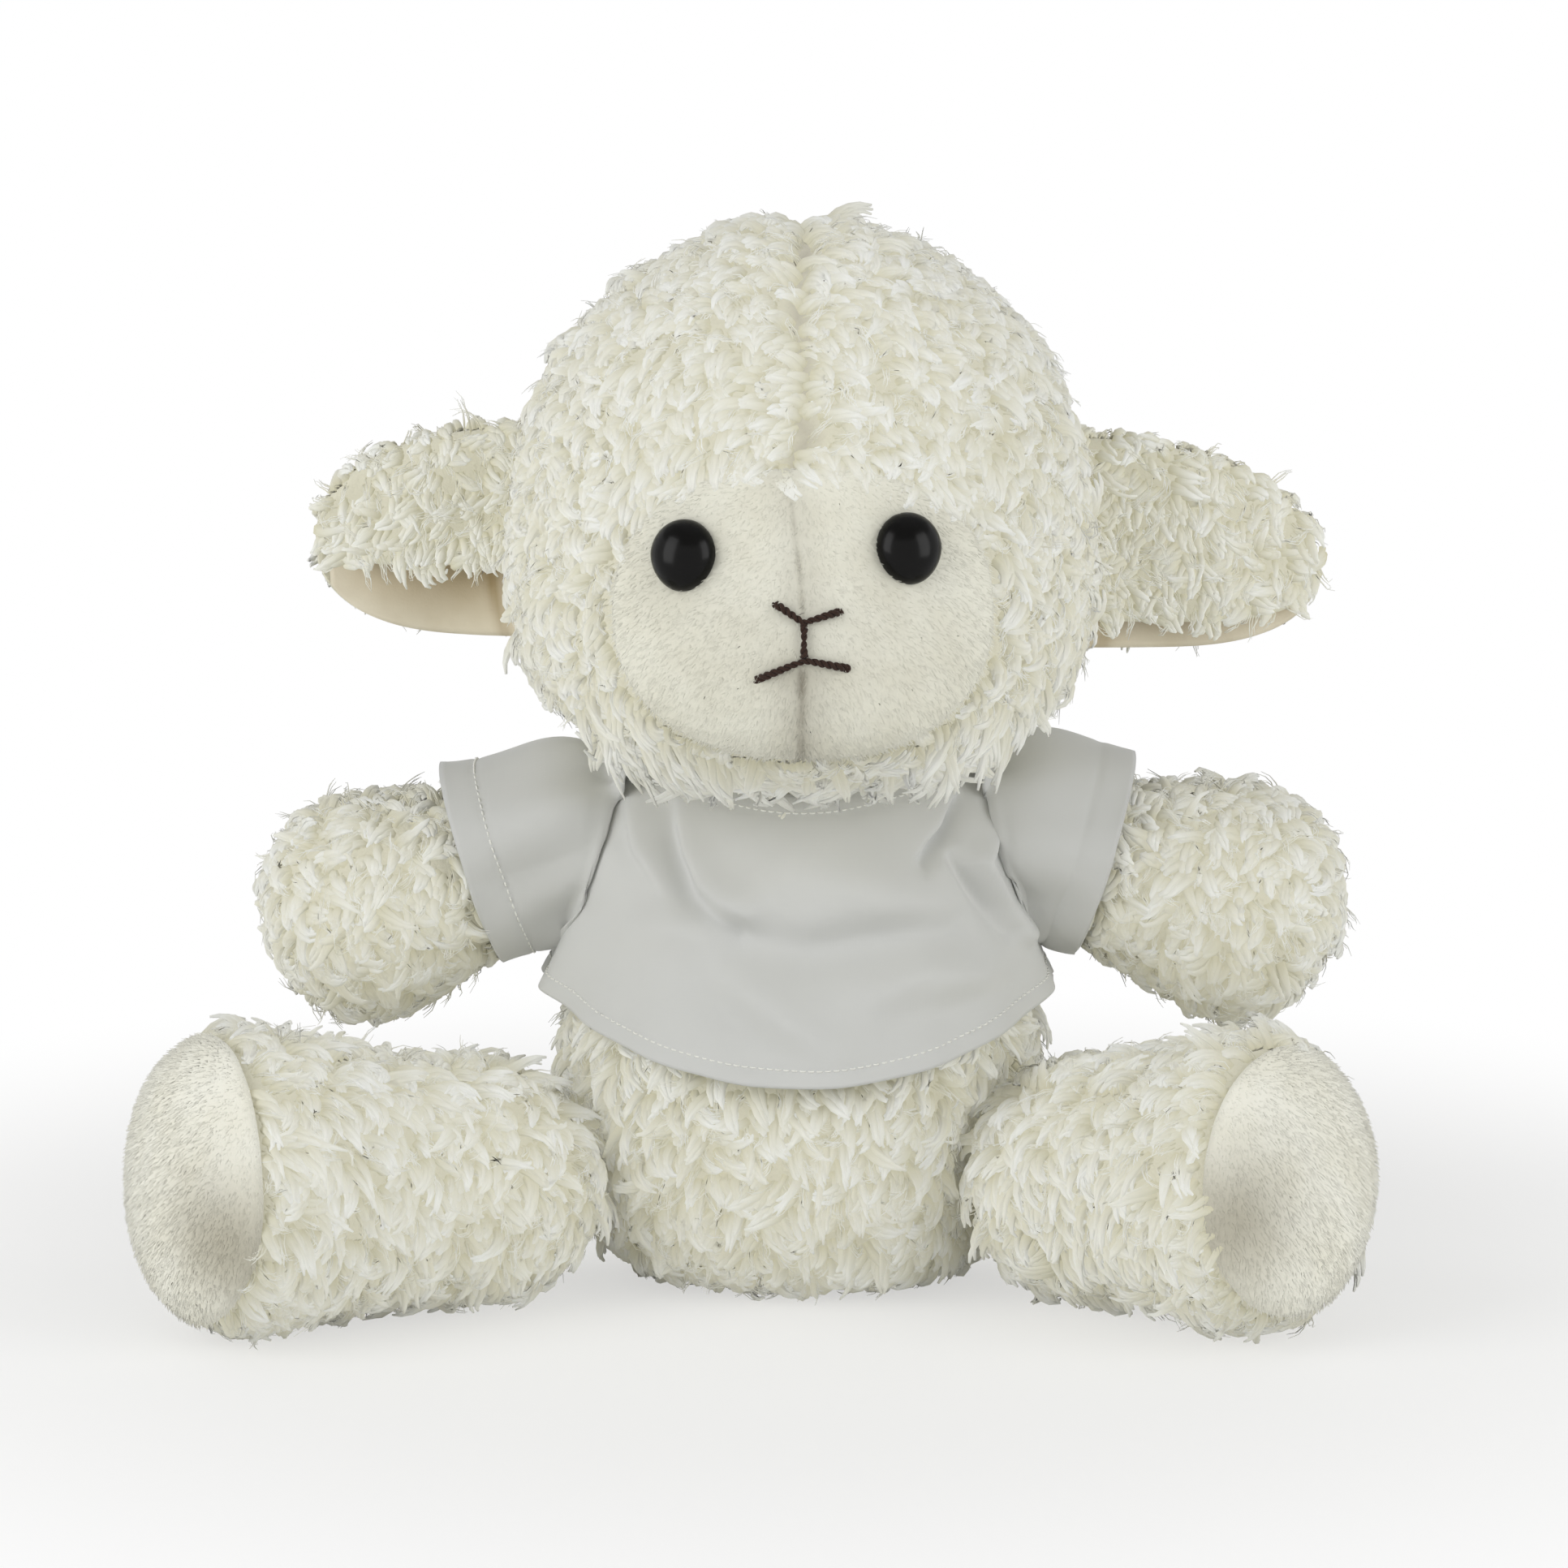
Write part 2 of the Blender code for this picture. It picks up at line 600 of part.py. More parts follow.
def make_head(workshop, head, tree):
    workshop.pivot("neck_pivot", neck_pivot())
    workshop.pivot("head_pivot", neck_pivot(), "neck_pivot")
    socket = NECK_DOME_RADIUS + NECK_SEAM_THICKNESS + 2 * GAP + TURNING_GAP
    neck = ball(workshop, "neck_socket", neck_pivot(), socket, NECK_FACETS)
    cavity = workshop.cutter("head_cavity", head.solid("head_cavity", HEAD_CORE_FACETS, -FLEECE))
    cover = workshop.piece("head_cover", head.solid("head_cover", HEAD_FACETS), "fleece", "head_pivot")
    panel = workshop.piece("face_panel", head.solid("face_panel", HEAD_FACETS), "smooth", "head_pivot")
    for item in (cover, panel):
        boolean(item, cavity)
    boolean(cover, neck)
    boolean(cover, face_shield(workshop, head, "face_opening", GAP))
    boolean(panel, face_shield(workshop, head, "face_outline", 0.0), "INTERSECT")
    filling = head.solid("head_stuffing", HEAD_CORE_FACETS, -FLEECE - 2 * GAP)
    core = workshop.piece("head_stuffing", filling, "filling", "head_pivot")
    boolean(core, ball(workshop, "neck_socket_filled", neck_pivot(), socket + GAP, NECK_FACETS))
    for name in SIDES:
        make_eye(workshop, tree, panel, core, name)
    make_neck_seam(workshop)


def turned(workshop, name, profile, surface, frame, pivot, closed=False):
    """A round piece: its half section, turned about its own axis."""
    bm = bmesh.new()
    verts = [bm.verts.new((radius, 0, height)) for radius, height in profile]
    for first, second in zip(verts, verts[1:]):
        bm.edges.new((first, second))
    if closed:
        bm.edges.new((verts[-1], verts[0]))
    mesh = bpy.data.meshes.new(name)
    bm.to_mesh(mesh)
    bm.free()
    item = workshop.piece(name, mesh, surface, pivot)
    item.matrix_basis = frame
    screw = item.modifiers.new("turn", "SCREW")
    screw.steps = TURNED_STEPS
    screw.render_steps = TURNED_STEPS
    screw.use_merge_vertices = True
    screw.merge_threshold = WELD
    screw.use_smooth_shade = True
    return item


def make_eye(workshop, tree, panel, core, name):
    """Dome, shank and washer on the line that stands square on the face at the eye."""
    place, normal = on_face(tree, SIDES[name] * EYE_SPREADS[name], HEAD_BOTTOM + EYE_LEVELS[name])
    frame = Matrix.Translation(place + normal * GAP) @ normal.to_track_quat("Z", "Y").to_matrix().to_4x4()
    radius = EYE_DIAMETER / 2.0
    dome = [(0.0, EYE_HEIGHT)]
    for angle in EYE_ANGLES:
        rise = (EYE_HEIGHT - EYE_EDGE) * math.cos(math.radians(angle))
        dome.append((radius * math.sin(math.radians(angle)), EYE_EDGE + rise))
    shank = SHANK_DIAMETER / 2.0
    profile = dome + [(radius - EYE_EDGE, GAP), (shank, GAP), (shank, GAP - SHANK_LENGTH),
                      (0.0, GAP - SHANK_LENGTH)]
    turned(workshop, "eye_" + name, profile, "eye", frame, "head_pivot")
    inner = shank + GAP
    outer = WASHER_DIAMETER / 2.0
    high = -FLEECE - GAP
    low = high - WASHER_THICKNESS
    ring = [(outer, high), (outer, low), (inner, low), (inner, high)]
    turned(workshop, "eye_washer_" + name, ring, "washer", frame, "head_pivot", closed=True)
    out = frame @ Vector((0, 0, OVERRUN))
    face = frame @ Vector((0, 0, high + GAP))
    deep = frame @ Vector((0, 0, -SHANK_LENGTH - GAP))
    pocket = rod(workshop, "eye_pocket_" + name, deep, face, outer + GAP, TURNED_STEPS)
    boolean(panel, rod(workshop, "eye_hole_" + name, deep, out, inner, TURNED_STEPS))
    boolean(panel, pocket)
    boolean(core, pocket)


def make_neck_seam(workshop):
    """The ring of closing stitches between head and torso."""
    centre = neck_pivot()
    middle = NECK_DOME_RADIUS + GAP + NECK_SEAM_THICKNESS / 2.0
    height = math.sqrt(middle ** 2 - NECK_SEAM_RADIUS ** 2)
    profile = []
    for index in range(NECK_SEAM_SIDES):
        angle = -2.0 * math.pi * index / NECK_SEAM_SIDES
        profile.append((NECK_SEAM_RADIUS + NECK_SEAM_THICKNESS / 2.0 * math.cos(angle),
                        height + NECK_SEAM_THICKNESS / 2.0 * math.sin(angle)))
    frame = Matrix.Translation(centre)
    turned(workshop, "neck_seam", profile, "thread", frame, "neck_pivot", closed=True)


def yarn(workshop, name, tree, stops):
    """Yarn laid over the face through a few stops, each (x, z)."""
    data = bpy.data.curves.new(name, "CURVE")
    data.dimensions = "3D"
    data.bevel_depth = YARN_DIAMETER / 2.0
    data.bevel_resolution = 2
    data.use_fill_caps = True
    spline = data.splines.new("POLY")
    points = []
    for (x0, z0), (x1, z1) in zip(stops, stops[1:]):
        for index in range(YARN_STEPS):
            share = index / YARN_STEPS
            points.append((x0 + (x1 - x0) * share, z0 + (z1 - z0) * share))
    points.append(stops[-1])
    spline.points.add(len(points) - 1)
    for spot, (x, z) in zip(spline.points, points):
        place, normal = on_face(tree, x, z)
        spot.co = (*(place + normal * (YARN_DIAMETER / 2.0 + GAP)), 1.0)
    workshop.piece(name, data, "yarn", "head_pivot")


def make_stitches(workshop, tree):
    """A nose like a wide V, a short lip line and a mouth like a flat roof, all sewn by hand."""
    nose = HEAD_BOTTOM + NOSE_LEVEL
    mouth = HEAD_BOTTOM + MOUTH_LEVEL
    space = YARN_DIAMETER / 2.0 + 2 * GAP
    right = [(-NOSE_REACHES["right"], nose + NOSE_LIFTS["right"]), (0, nose)]
    yarn(workshop, "nose_stitch", tree, right + [(NOSE_REACHES["left"], nose + NOSE_LIFTS["left"])])
    yarn(workshop, "lip_stitch", tree, [(0, nose - space), (0, mouth + space)])
    right = [(-MOUTH_REACHES["right"], mouth - MOUTH_DROPS["right"]), (0, mouth)]
    yarn(workshop, "mouth_stitch", tree, right + [(MOUTH_REACHES["left"], mouth - MOUTH_DROPS["left"])])


# Ears

def ear_section(name, across):
    """Depth and height, as shares, of the folded sheet: up the back, over and down the front."""
    flap = EAR_FLAP_SHARES[name]
    third = 3.0 * across
    if third < 1.0:
        lean = EAR_LEAN_SHARE + (1.0 - EAR_LEAN_SHARE) * math.sin(third * math.pi / 2.0)
        return lean, -1.0 + (1.0 + EAR_BEND_SHARE) * third
    if third < 2.0:
        angle = math.pi * (third - 1.0)
        return math.cos(angle), EAR_BEND_SHARE + (1.0 - EAR_BEND_SHARE) * math.sin(angle)
    return -1.0, EAR_BEND_SHARE + (flap - EAR_BEND_SHARE) * (third - 2.0)


def ear_height(along):
    place = along * (len(EAR_HEIGHT_SHARES) - 1)
    index = min(int(place), len(EAR_HEIGHT_SHARES) - 2)
    step = place - index
    return EAR_HALF_HEIGHT * (EAR_HEIGHT_SHARES[index] * (1 - step) + EAR_HEIGHT_SHARES[index + 1] * step)


def ear_point(tree, name, along, across):
    """A point of the ear's middle surface, from the head's side out to the tip."""
    mirror = SIDES[name]
    depth, level = ear_section(name, across)
    middle = HEAD_BOTTOM + EAR_LEVELS[name]
    root_y = EAR_BACK + depth * EAR_DEPTH
    root_z = middle + level * EAR_HALF_HEIGHT
    start = Vector((mirror * 2.0 * HEAD_HALF_WIDTH, root_y, root_z))
    root = tree.ray_cast(start, Vector((-mirror, 0, 0)))[0].x * mirror
    clear = EAR_ROOT_GAP + EAR_ROOT_EASE_SHARE * EAR_DEPTH * abs(depth)
    tip = HEAD_HALF_WIDTH + EAR_LENGTHS[name]
    x = root + clear + (tip - root - clear) * along
    z = middle + level * ear_height(along) - EAR_DROOPS[name] * along ** 2
    return Vector((mirror * x, root_y, z))


def ear_sheet(workshop, tree, name, kind, ends, sink, thickness, surface):
    """One layer of an ear, a given distance inside the middle surface of the fleece."""
    bm = bmesh.new()
    bmesh.ops.create_grid(bm, x_segments=EAR_FACETS[0], y_segments=EAR_FACETS[1], size=1.0)
    for vert in bm.verts:
        along = ends[0] + (vert.co.x + 1.0) / 2.0 * (ends[1] - ends[0])
        across = (vert.co.y + 1.0) / 2.0
        place = ear_point(tree, name, along, across)
        low = max(across - SLOPE_STEP, 0.0)
        high = min(across + SLOPE_STEP, 1.0)
        run = ear_point(tree, name, along, high) - ear_point(tree, name, along, low)
        inward = run.cross(Vector((SIDES[name], 0, 0))).normalized() * SIDES[name]
        vert.co = place - inward * sink
    item = workshop.piece("ear_" + name + "_" + kind, mesh_from(bm, kind), surface,
                          "ear_" + name + "_pivot")
    solidify(item, thickness)


def make_ear(workshop, tree, name):
    mirror = SIDES[name]
    middle = HEAD_BOTTOM + EAR_LEVELS[name]
    start = Vector((mirror * 2.0 * HEAD_HALF_WIDTH, EAR_BACK, middle))
    seam = tree.ray_cast(start, Vector((-mirror, 0, 0)))[0]
    workshop.pivot("ear_" + name + "_pivot", seam, "head_pivot")
    ear_sheet(workshop, tree, name, "outer", (0.0, EAR_LAST_SHARE), 0.0, FLEECE, "fleece")
    sink = FLEECE / 2.0 + 2 * GAP + LINING / 2.0
    ends = (LINING_FIRST_SHARE, LINING_LAST_SHARE)
    ear_sheet(workshop, tree, name, "lining", ends, sink, LINING, "lining")


# T-shirt

def hem_share(turn):
    """How far up the torso's outline the hem lies: lowest in front, highest at the sides."""
    ahead = math.sin(turn)
    middle = HEM_FRONT_SHARE if ahead >= 0 else HEM_BACK_SHARE
    return HEM_SIDE_SHARE + (middle - HEM_SIDE_SHARE) * ahead ** 2


def neckline_share(turn):
    """The neckline, a little lower behind than in front."""
    ahead = (1.0 + math.sin(turn)) / 2.0
    return NECKLINE_BACK_SHARE + (NECKLINE_FRONT_SHARE - NECKLINE_BACK_SHARE) * ahead


def shirt_share(turn, along):
    low = hem_share(turn)
    return low + (neckline_share(turn) - low) * along


def shirt_ease(turn, along):
    """Distance from the fleece: snug at the shoulders and sides, flared and folded at the hem."""
    loose = (1.0 - along) ** 2 * math.sin(turn) ** 2
    fold = FOLD_DEPTH * math.cos(FOLD_COUNT * turn)
    return SHIRT_EASE + (HEM_FLARE + fold) * loose


def make_shirt(workshop, torso):
    side = math.radians(SIDE_SEAM_ANGLE)
    overlap = math.radians(OVERLAP_ANGLE)
    lift = KNIT + 2 * TAPE_THICKNESS + 3 * GAP
    back = 1.5 * math.pi

    def over(turn, along):
        """The left back panel rises to lap over the right one and the tapes between them."""
        way = min(max((back + 3.0 * overlap - turn) / overlap, 0.0), 1.0)
        return shirt_ease(turn, along) + lift * way * way * (3.0 - 2.0 * way)

    panels = {
        "shirt_front": ((side, math.pi - side), shirt_ease, ("left", "right")),
        "shirt_back_right": ((math.pi + side, back + overlap), shirt_ease, ("right",)),
        "shirt_back_left": ((back - overlap, 2.0 * math.pi - side), over, ("left",)),
    }
    sockets = socket_sizes(torso)
    for name, (turns, ease, hands) in panels.items():
        item = workshop.piece(name, torso.sheet(name, shirt_share, turns, ease, KNIT, SHIRT_FACETS[name]),
                              "knit")
        solidify(item, KNIT)
        for hand in hands:
            centre, radius = sockets["shoulder_" + hand]
            boolean(item, ball(workshop, name + "_armhole_" + hand, centre, radius))
            boolean(item, arm_lane(workshop, torso, name + "_lane_" + hand, hand, radius))
    make_tapes(workshop, torso, back)


def make_tapes(workshop, torso, back):
    """Loop tape on the right back panel and hook tape under the left one."""
    half = math.radians(TAPE_ANGLE)

    def share(turn, along):
        return TAPE_BOTTOM_SHARE + (TAPE_TOP_SHARE - TAPE_BOTTOM_SHARE) * along

    def panel_level(turn, along):
        low = hem_share(turn)
        return (share(turn, along) - low) / (neckline_share(turn) - low)

    for name, layers in (("loop_tape", 1), ("hook_tape", 2)):
        def rise(turn, along, layers=layers):
            under = KNIT + GAP + (layers - 1) * (TAPE_THICKNESS + GAP)
            return shirt_ease(turn, panel_level(turn, along)) + under
        cloth = torso.sheet(name, share, (back - half, back + half), rise, TAPE_THICKNESS,
                            TAPE_FACETS)
        solidify(workshop.piece(name, cloth, "tape"), TAPE_THICKNESS)


def make_sleeve(workshop, form, name, pivot):
    """A short sleeve, round about the shoulder so that it can turn in the armhole."""
    arcs = len(ROOT_ANGLES) - 1
    turned_share = (ROOT_ANGLES[0] - SLEEVE_ROOT_ANGLE) / (ROOT_ANGLES[0] - ROOT_ANGLES[-1])
    start = turned_share * arcs / (len(form.rows) - 1)
    alongs = [row[0] for row in form.rows]
    end = share_at(alongs, SLEEVE_LENGTHS[name])

    def share(turn, along):
        return start + (end - start) * along

    def ease(turn, along):
        return SLEEVE_EASE + SLEEVE_FLARE * max(2.0 * along - 1.0, 0.0)

    cloth = form.sheet("sleeve", share, (0.0, 2.0 * math.pi), ease, KNIT, SLEEVE_FACETS)
    solidify(workshop.piece("sleeve_" + name, cloth, "knit", pivot), KNIT)


def share_at(alongs, along):
    """The outline share at which a form has reached a distance along its axis."""
    for index, (low, high) in enumerate(zip(alongs, alongs[1:])):
        if low <= along <= high:
            return (index + (along - low) / (high - low)) / (len(alongs) - 1)
    return 1.0


def main():
    clear_scene()
    workshop = Workshop()
    torso = torso_form()
    head = head_form()
    tree = head_surface(head)
    seat = seat_plane(workshop)
    make_torso(workshop, torso, seat)
    for name in SIDES:
        make_arm(workshop, torso, name)
        make_leg(workshop, torso, name, seat)
    make_shirt(workshop, torso)
    make_head(workshop, head, tree)
    make_stitches(workshop, tree)
    for name in SIDES:
        make_ear(workshop, tree, name)


main()
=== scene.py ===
# %% [markdown]
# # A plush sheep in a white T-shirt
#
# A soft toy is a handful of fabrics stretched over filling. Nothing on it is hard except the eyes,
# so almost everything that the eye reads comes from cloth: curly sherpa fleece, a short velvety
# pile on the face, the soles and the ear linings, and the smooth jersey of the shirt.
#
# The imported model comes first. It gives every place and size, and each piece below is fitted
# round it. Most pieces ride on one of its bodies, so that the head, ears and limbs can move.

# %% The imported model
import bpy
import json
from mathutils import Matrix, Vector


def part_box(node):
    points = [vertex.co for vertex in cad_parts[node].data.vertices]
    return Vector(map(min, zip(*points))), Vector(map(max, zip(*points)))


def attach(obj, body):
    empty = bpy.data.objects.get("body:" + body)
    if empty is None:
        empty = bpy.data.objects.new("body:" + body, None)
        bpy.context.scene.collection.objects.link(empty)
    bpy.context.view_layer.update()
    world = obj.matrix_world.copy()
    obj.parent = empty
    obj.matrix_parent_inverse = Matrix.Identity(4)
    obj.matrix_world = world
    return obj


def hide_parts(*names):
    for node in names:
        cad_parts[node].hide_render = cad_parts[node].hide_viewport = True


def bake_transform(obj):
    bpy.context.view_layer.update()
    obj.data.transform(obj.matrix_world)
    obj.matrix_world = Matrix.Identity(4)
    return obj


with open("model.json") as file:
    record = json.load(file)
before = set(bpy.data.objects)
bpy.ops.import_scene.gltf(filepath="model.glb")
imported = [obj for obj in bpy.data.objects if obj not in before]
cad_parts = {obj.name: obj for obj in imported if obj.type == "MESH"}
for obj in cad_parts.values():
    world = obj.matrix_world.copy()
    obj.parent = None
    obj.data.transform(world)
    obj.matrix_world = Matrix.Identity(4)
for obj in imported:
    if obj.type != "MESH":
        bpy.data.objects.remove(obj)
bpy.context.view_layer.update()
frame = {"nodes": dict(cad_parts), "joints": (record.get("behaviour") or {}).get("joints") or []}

# %% Tools from Blender and numpy
import json
import math

import bmesh
import bpy
import numpy as np
from mathutils import Matrix, Vector, noise
from mathutils.bvhtree import BVHTree

noise.seed_set(1)                     # otherwise its vectors follow the clock, and no two runs agree
MM = 0.001
UP = Vector((0.0, 0.0, 1.0))
HANDS = {"left": 1, "right": -1}      # the toy's own left is +X
JOINTS = {joint["name"]: joint for joint in frame["joints"]}


def new_object(name, data):
    item = bpy.data.objects.new(name, data)
    bpy.context.scene.collection.objects.link(item)
    return item


# %% [markdown]
# ## Colours and shader nodes
#
# Colours are picked as sRGB hex values, the way a swatch is read off a screen. Blender's shaders
# work in linear light, so one function turns every swatch to linear. One more adds a shader node,
# sets it up and links it, which keeps each material below short enough to read at a glance.

# %% Colour and node helpers
def linear(swatch):
    """An sRGB hex swatch as linear RGBA."""
    channels = [int(swatch[index:index + 2], 16) / 255.0 for index in (1, 3, 5)]
    return [c / 12.92 if c <= 0.04045 else ((c + 0.055) / 1.055) ** 2.4 for c in channels] + [1.0]


def add(tree, kind, inputs=None, **settings):
    """A shader node. inputs gives each socket a value, a hex swatch or another node's output."""
    made = tree.nodes.new(kind)
    for name, value in settings.items():
        setattr(made, name, value)
    for socket, value in (inputs or {}).items():
        if isinstance(value, bpy.types.NodeSocket):
            tree.links.new(value, made.inputs[socket])
        else:
            made.inputs[socket].default_value = linear(value) if isinstance(value, str) else value
    return made


def coordinates(tree, kind="Object"):
    return add(tree, "ShaderNodeTexCoord").outputs[kind]


def attribute(tree, name):
    """A value that the mesh carries at each of its points."""
    return add(tree, "ShaderNodeAttribute", attribute_name=name).outputs["Fac"]


def patches(tree, place, size, detail):
    """Noise whose patches have about this size."""
    noisy = add(tree, "ShaderNodeTexNoise", {"Vector": place, "Scale": 1.0 / size, "Detail": detail})
    return noisy.outputs["Fac"]


def ranged(tree, value, ends, **settings):
    """A value mapped from one range to another; ends gives the ranges' sockets."""
    return add(tree, "ShaderNodeMapRange", {"Value": value, **ends}, **settings).outputs[0]


def combine(tree, operation, first, second):
    return add(tree, "ShaderNodeMath", {0: first, 1: second}, operation=operation).outputs[0]


def blend_colours(tree, factor, first, second):
    """One colour fading to another by a factor from 0 to 1."""
    return add(tree, "ShaderNodeMix", {0: factor, 6: first, 7: second}, data_type="RGBA").outputs[2]


def new_material(name, **sockets):
    """A Principled material; sockets with a space are written with an underscore."""
    material = bpy.data.materials.new(name)
    material.use_nodes = True
    for socket, value in sockets.items():
        material.node_tree.nodes["Principled BSDF"].inputs[socket.replace("_", " ")].default_value = value
    return material


def surface(material, colour, height, strength, distance):
    """The material with its colour and a bump plugged in."""
    tree = material.node_tree
    shader = tree.nodes["Principled BSDF"]
    bump = add(tree, "ShaderNodeBump", {"Height": height, "Strength": strength, "Distance": distance})
    tree.links.new(colour, shader.inputs["Base Color"])
    tree.links.new(bump.outputs[0], shader.inputs["Normal"])
    return material


# %% [markdown]
# ## Sherpa fleece
#
# Sherpa is a knitted polyester ground with a long pile that is tumbled until it curls into locks.
# The tips catch the light and look almost white. Deep between the locks the fibres shade each other
# and the cloth looks creamy yellow. That shade is painted into the colour along each lock, from a
# warm root to a pale tip, and each lock is a touch warmer or cooler than the next. Fine streaks run
# along the locks, and the ground between them has a felted crimp and the root's painted shade.

# %% Sherpa fleece material
CRIMP_SIZE = 1.1 * MM                 # of the felted ground


def make_sherpa(name, root, tip, grain, strength, distance):
    """grain works out the fine pattern of the fleece from the material's tree."""
    material = new_material(name, Roughness=0.95, IOR=1.45, Specular_IOR_Level=0.1,
                            Sheen_Weight=0.2, Sheen_Roughness=0.6)
    tree = material.node_tree
    # Painted shade deep in the pile: the colour runs from the darker root to the pale tip.
    along = ranged(tree, attribute(tree, "along"), {"From Min": 0.05, "From Max": 0.75})
    warmth = ranged(tree, attribute(tree, "tone"), {"To Min": 0.0, "To Max": 0.35})
    warm = blend_colours(tree, warmth, blend_colours(tree, along, root, tip), "#E8E4CB")
    # Painted shade: in the groove of the crown's seam the colour darkens to grey beige.
    shaded = blend_colours(tree, attribute(tree, "hollow"), warm, "#B5AF9F")
    return surface(material, shaded, grain(tree), strength, distance)


def streaks_along(tree):
    stretch = add(tree, "ShaderNodeMapping", {"Vector": coordinates(tree, "UV"),
                                              "Scale": (14.0, 3.0, 1.0)})
    return patches(tree, stretch.outputs[0], 1.0, 2.0)


def felted(tree):
    return patches(tree, coordinates(tree), CRIMP_SIZE, 2.0)


# Roots carry the painted shade deep in the pile; tips the fleece's own near white.
sherpa = make_sherpa("sherpa_fleece", "#DCD8BD", "#FAFBF6", streaks_along, 0.3, 0.1 * MM)
sherpa_ground = make_sherpa("sherpa_ground", "#E0DDC9", "#E8E6D6", felted, 0.6, 0.4 * CRIMP_SIZE)
print("sherpa fleece: locks and the ground between them")


# %% [markdown]
# ## Short velvety pile
#
# The face, the soles and the ear linings are a warp-knitted plush with a pile of about 1 mm. It
# brushes one way, so broad soft patches look lighter or darker as the pile turns. The sheen comes
# from fibre tips seen edge on, and Blender's sheen lobe is made for that. Shade in seams, dents and
# folds is painted into the colour.

# %% Short pile material
PATCH_SIZE = 14 * MM                  # brushed patches
NAP_SIZE = 0.7 * MM                   # tufts of the pile, drawn about twice as coarse as they are


def make_velvet(name, light, dark, shade_colour):
    material = new_material(name, Roughness=0.9, IOR=1.45, Specular_IOR_Level=0.1,
                            Sheen_Weight=0.35, Sheen_Roughness=0.45)
    tree = material.node_tree
    place = coordinates(tree)
    brushed = ranged(tree, patches(tree, place, PATCH_SIZE, 3.0), {"From Min": 0.35, "From Max": 0.65})
    pile = blend_colours(tree, brushed, dark, light)
    # Painted shade: by the mark each piece carries, the pile darkens to its last swatch in seams, dents and
    # dimples, over the muzzle and under the ear's fold.
    colour = blend_colours(tree, attribute(tree, "hollow"), pile, shade_colour)
    return surface(material, colour, patches(tree, place, NAP_SIZE, 3.0), 0.3, 0.2 * MM)


# The last swatch of each is the colour of its painted shade.
face_velvet = make_velvet("face_plush", "#F3F2E4", "#EAE8D8", "#8F897B")
sole_velvet = make_velvet("sole_plush", "#FAF9ED", "#F3F1E2", "#A9A390")
lining_velvet = make_velvet("ear_lining_plush", "#EDE5D0", "#DFD5BD", "#A8946F")
print("short pile: face, soles and ear linings")


# %% [markdown]
# ## Jersey, thread and yarn
#
# The shirt is a fine polyester jersey: plain knit, ribs 0.4 mm apart, smooth enough that folds
# rather than texture shape its shading. Its seams are sewn with white polyester thread. Nose and
# mouth are a dark brown acrylic yarn of two twisted plies.

# %% Jersey, thread and yarn materials
KNIT_RIB = 0.4 * MM
CLOUD_SIZE = 30 * MM                  # slow changes of the knit's tone


def make_jersey():
    material = new_material("polyester_jersey", Roughness=0.62, IOR=1.5, Specular_IOR_Level=0.35,
                            Sheen_Weight=0.2, Sheen_Roughness=0.4)
    tree = material.node_tree
    knit = {"Vector": coordinates(tree, "UV"), "Scale": 1.0 / KNIT_RIB / 6.283}
    ribs = add(tree, "ShaderNodeTexWave", {**knit, "Distortion": 0.6, "Detail": 1.0},
               wave_type="BANDS", bands_direction="X", wave_profile="SIN")
    rows = add(tree, "ShaderNodeTexWave", knit, wave_type="BANDS", bands_direction="Y", wave_profile="SIN")
    loops = combine(tree, "MULTIPLY", ribs.outputs["Fac"], rows.outputs["Fac"])
    colour = blend_colours(tree, patches(tree, coordinates(tree), CLOUD_SIZE, 2.0), "#CDCECC", "#D3D4D1")
    return surface(material, colour, loops, 0.1, 0.05 * MM)


def make_spun(name, light, dark, ply, roughness):
    """Twisted fibre, in strands whose width is ply."""
    material = new_material(name, Roughness=roughness, IOR=1.5, Specular_IOR_Level=0.3, Sheen_Weight=0.15)
    tree = material.node_tree
    strand = patches(tree, coordinates(tree), ply, 4.0)
    return surface(material, blend_colours(tree, strand, dark, light), strand, 0.7, 0.15 * MM)


jersey = make_jersey()
white_thread = make_spun("white_polyester_thread", "#FAFAF6", "#ECECE4", 0.2 * MM, 0.6)
brown_yarn = make_spun("brown_acrylic_yarn", "#402618", "#180D08", 0.35 * MM, 0.8)
hook_and_loop = make_spun("white_hook_and_loop", "#F4F4F0", "#D8D8D2", 0.5 * MM, 0.75)
print("knit, thread, yarn and tape")


# %% [markdown]
# ## Eyes and washers
#
# Safety eyes are injection-moulded black plastic, buffed to a high gloss. The gloss is the whole
# effect: a near-black body colour with a sharp clear reflection. The washers behind the cloth are
# pale moulded nylon, a little waxy.

# %% Eye and washer materials
def make_moulded(name, swatch, flowed, roughness, mottle, gloss):
    material = new_material(name, Roughness=roughness, IOR=1.5, Specular_IOR_Level=gloss)
    tree = material.node_tree
    shader = tree.nodes["Principled BSDF"]
    flow = patches(tree, coordinates(tree), mottle, 3.0)
    tree.links.new(blend_colours(tree, flow, swatch, flowed), shader.inputs["Base Color"])
    tree.links.new(ranged(tree, flow, {"To Min": roughness * 0.8, "To Max": roughness * 1.3}),
                   shader.inputs["Roughness"])
    return material


eye_gloss = make_moulded("moulded_black_eye", "#070706", "#0C0B0A", 0.2, 4 * MM, 0.15)
washer_nylon = make_moulded("moulded_nylon_washer", "#E4E2DA", "#F2F1EC", 0.45, 2 * MM, 0.4)
for hand in HANDS:
    coats = frame["nodes"]["eye_washer_" + hand].data.materials
    coats.clear()
    coats.append(washer_nylon)
print("black gloss and nylon")


# %% [markdown]
# ## Camera, light and backdrop
#
# The photograph is a plain product shot: a long lens at the toy's chest height, tipped down by
# about nine degrees, soft light from all round with the key a little to the left, and a white
# ground. The camera comes first so that every piece can be judged from where it will be seen.

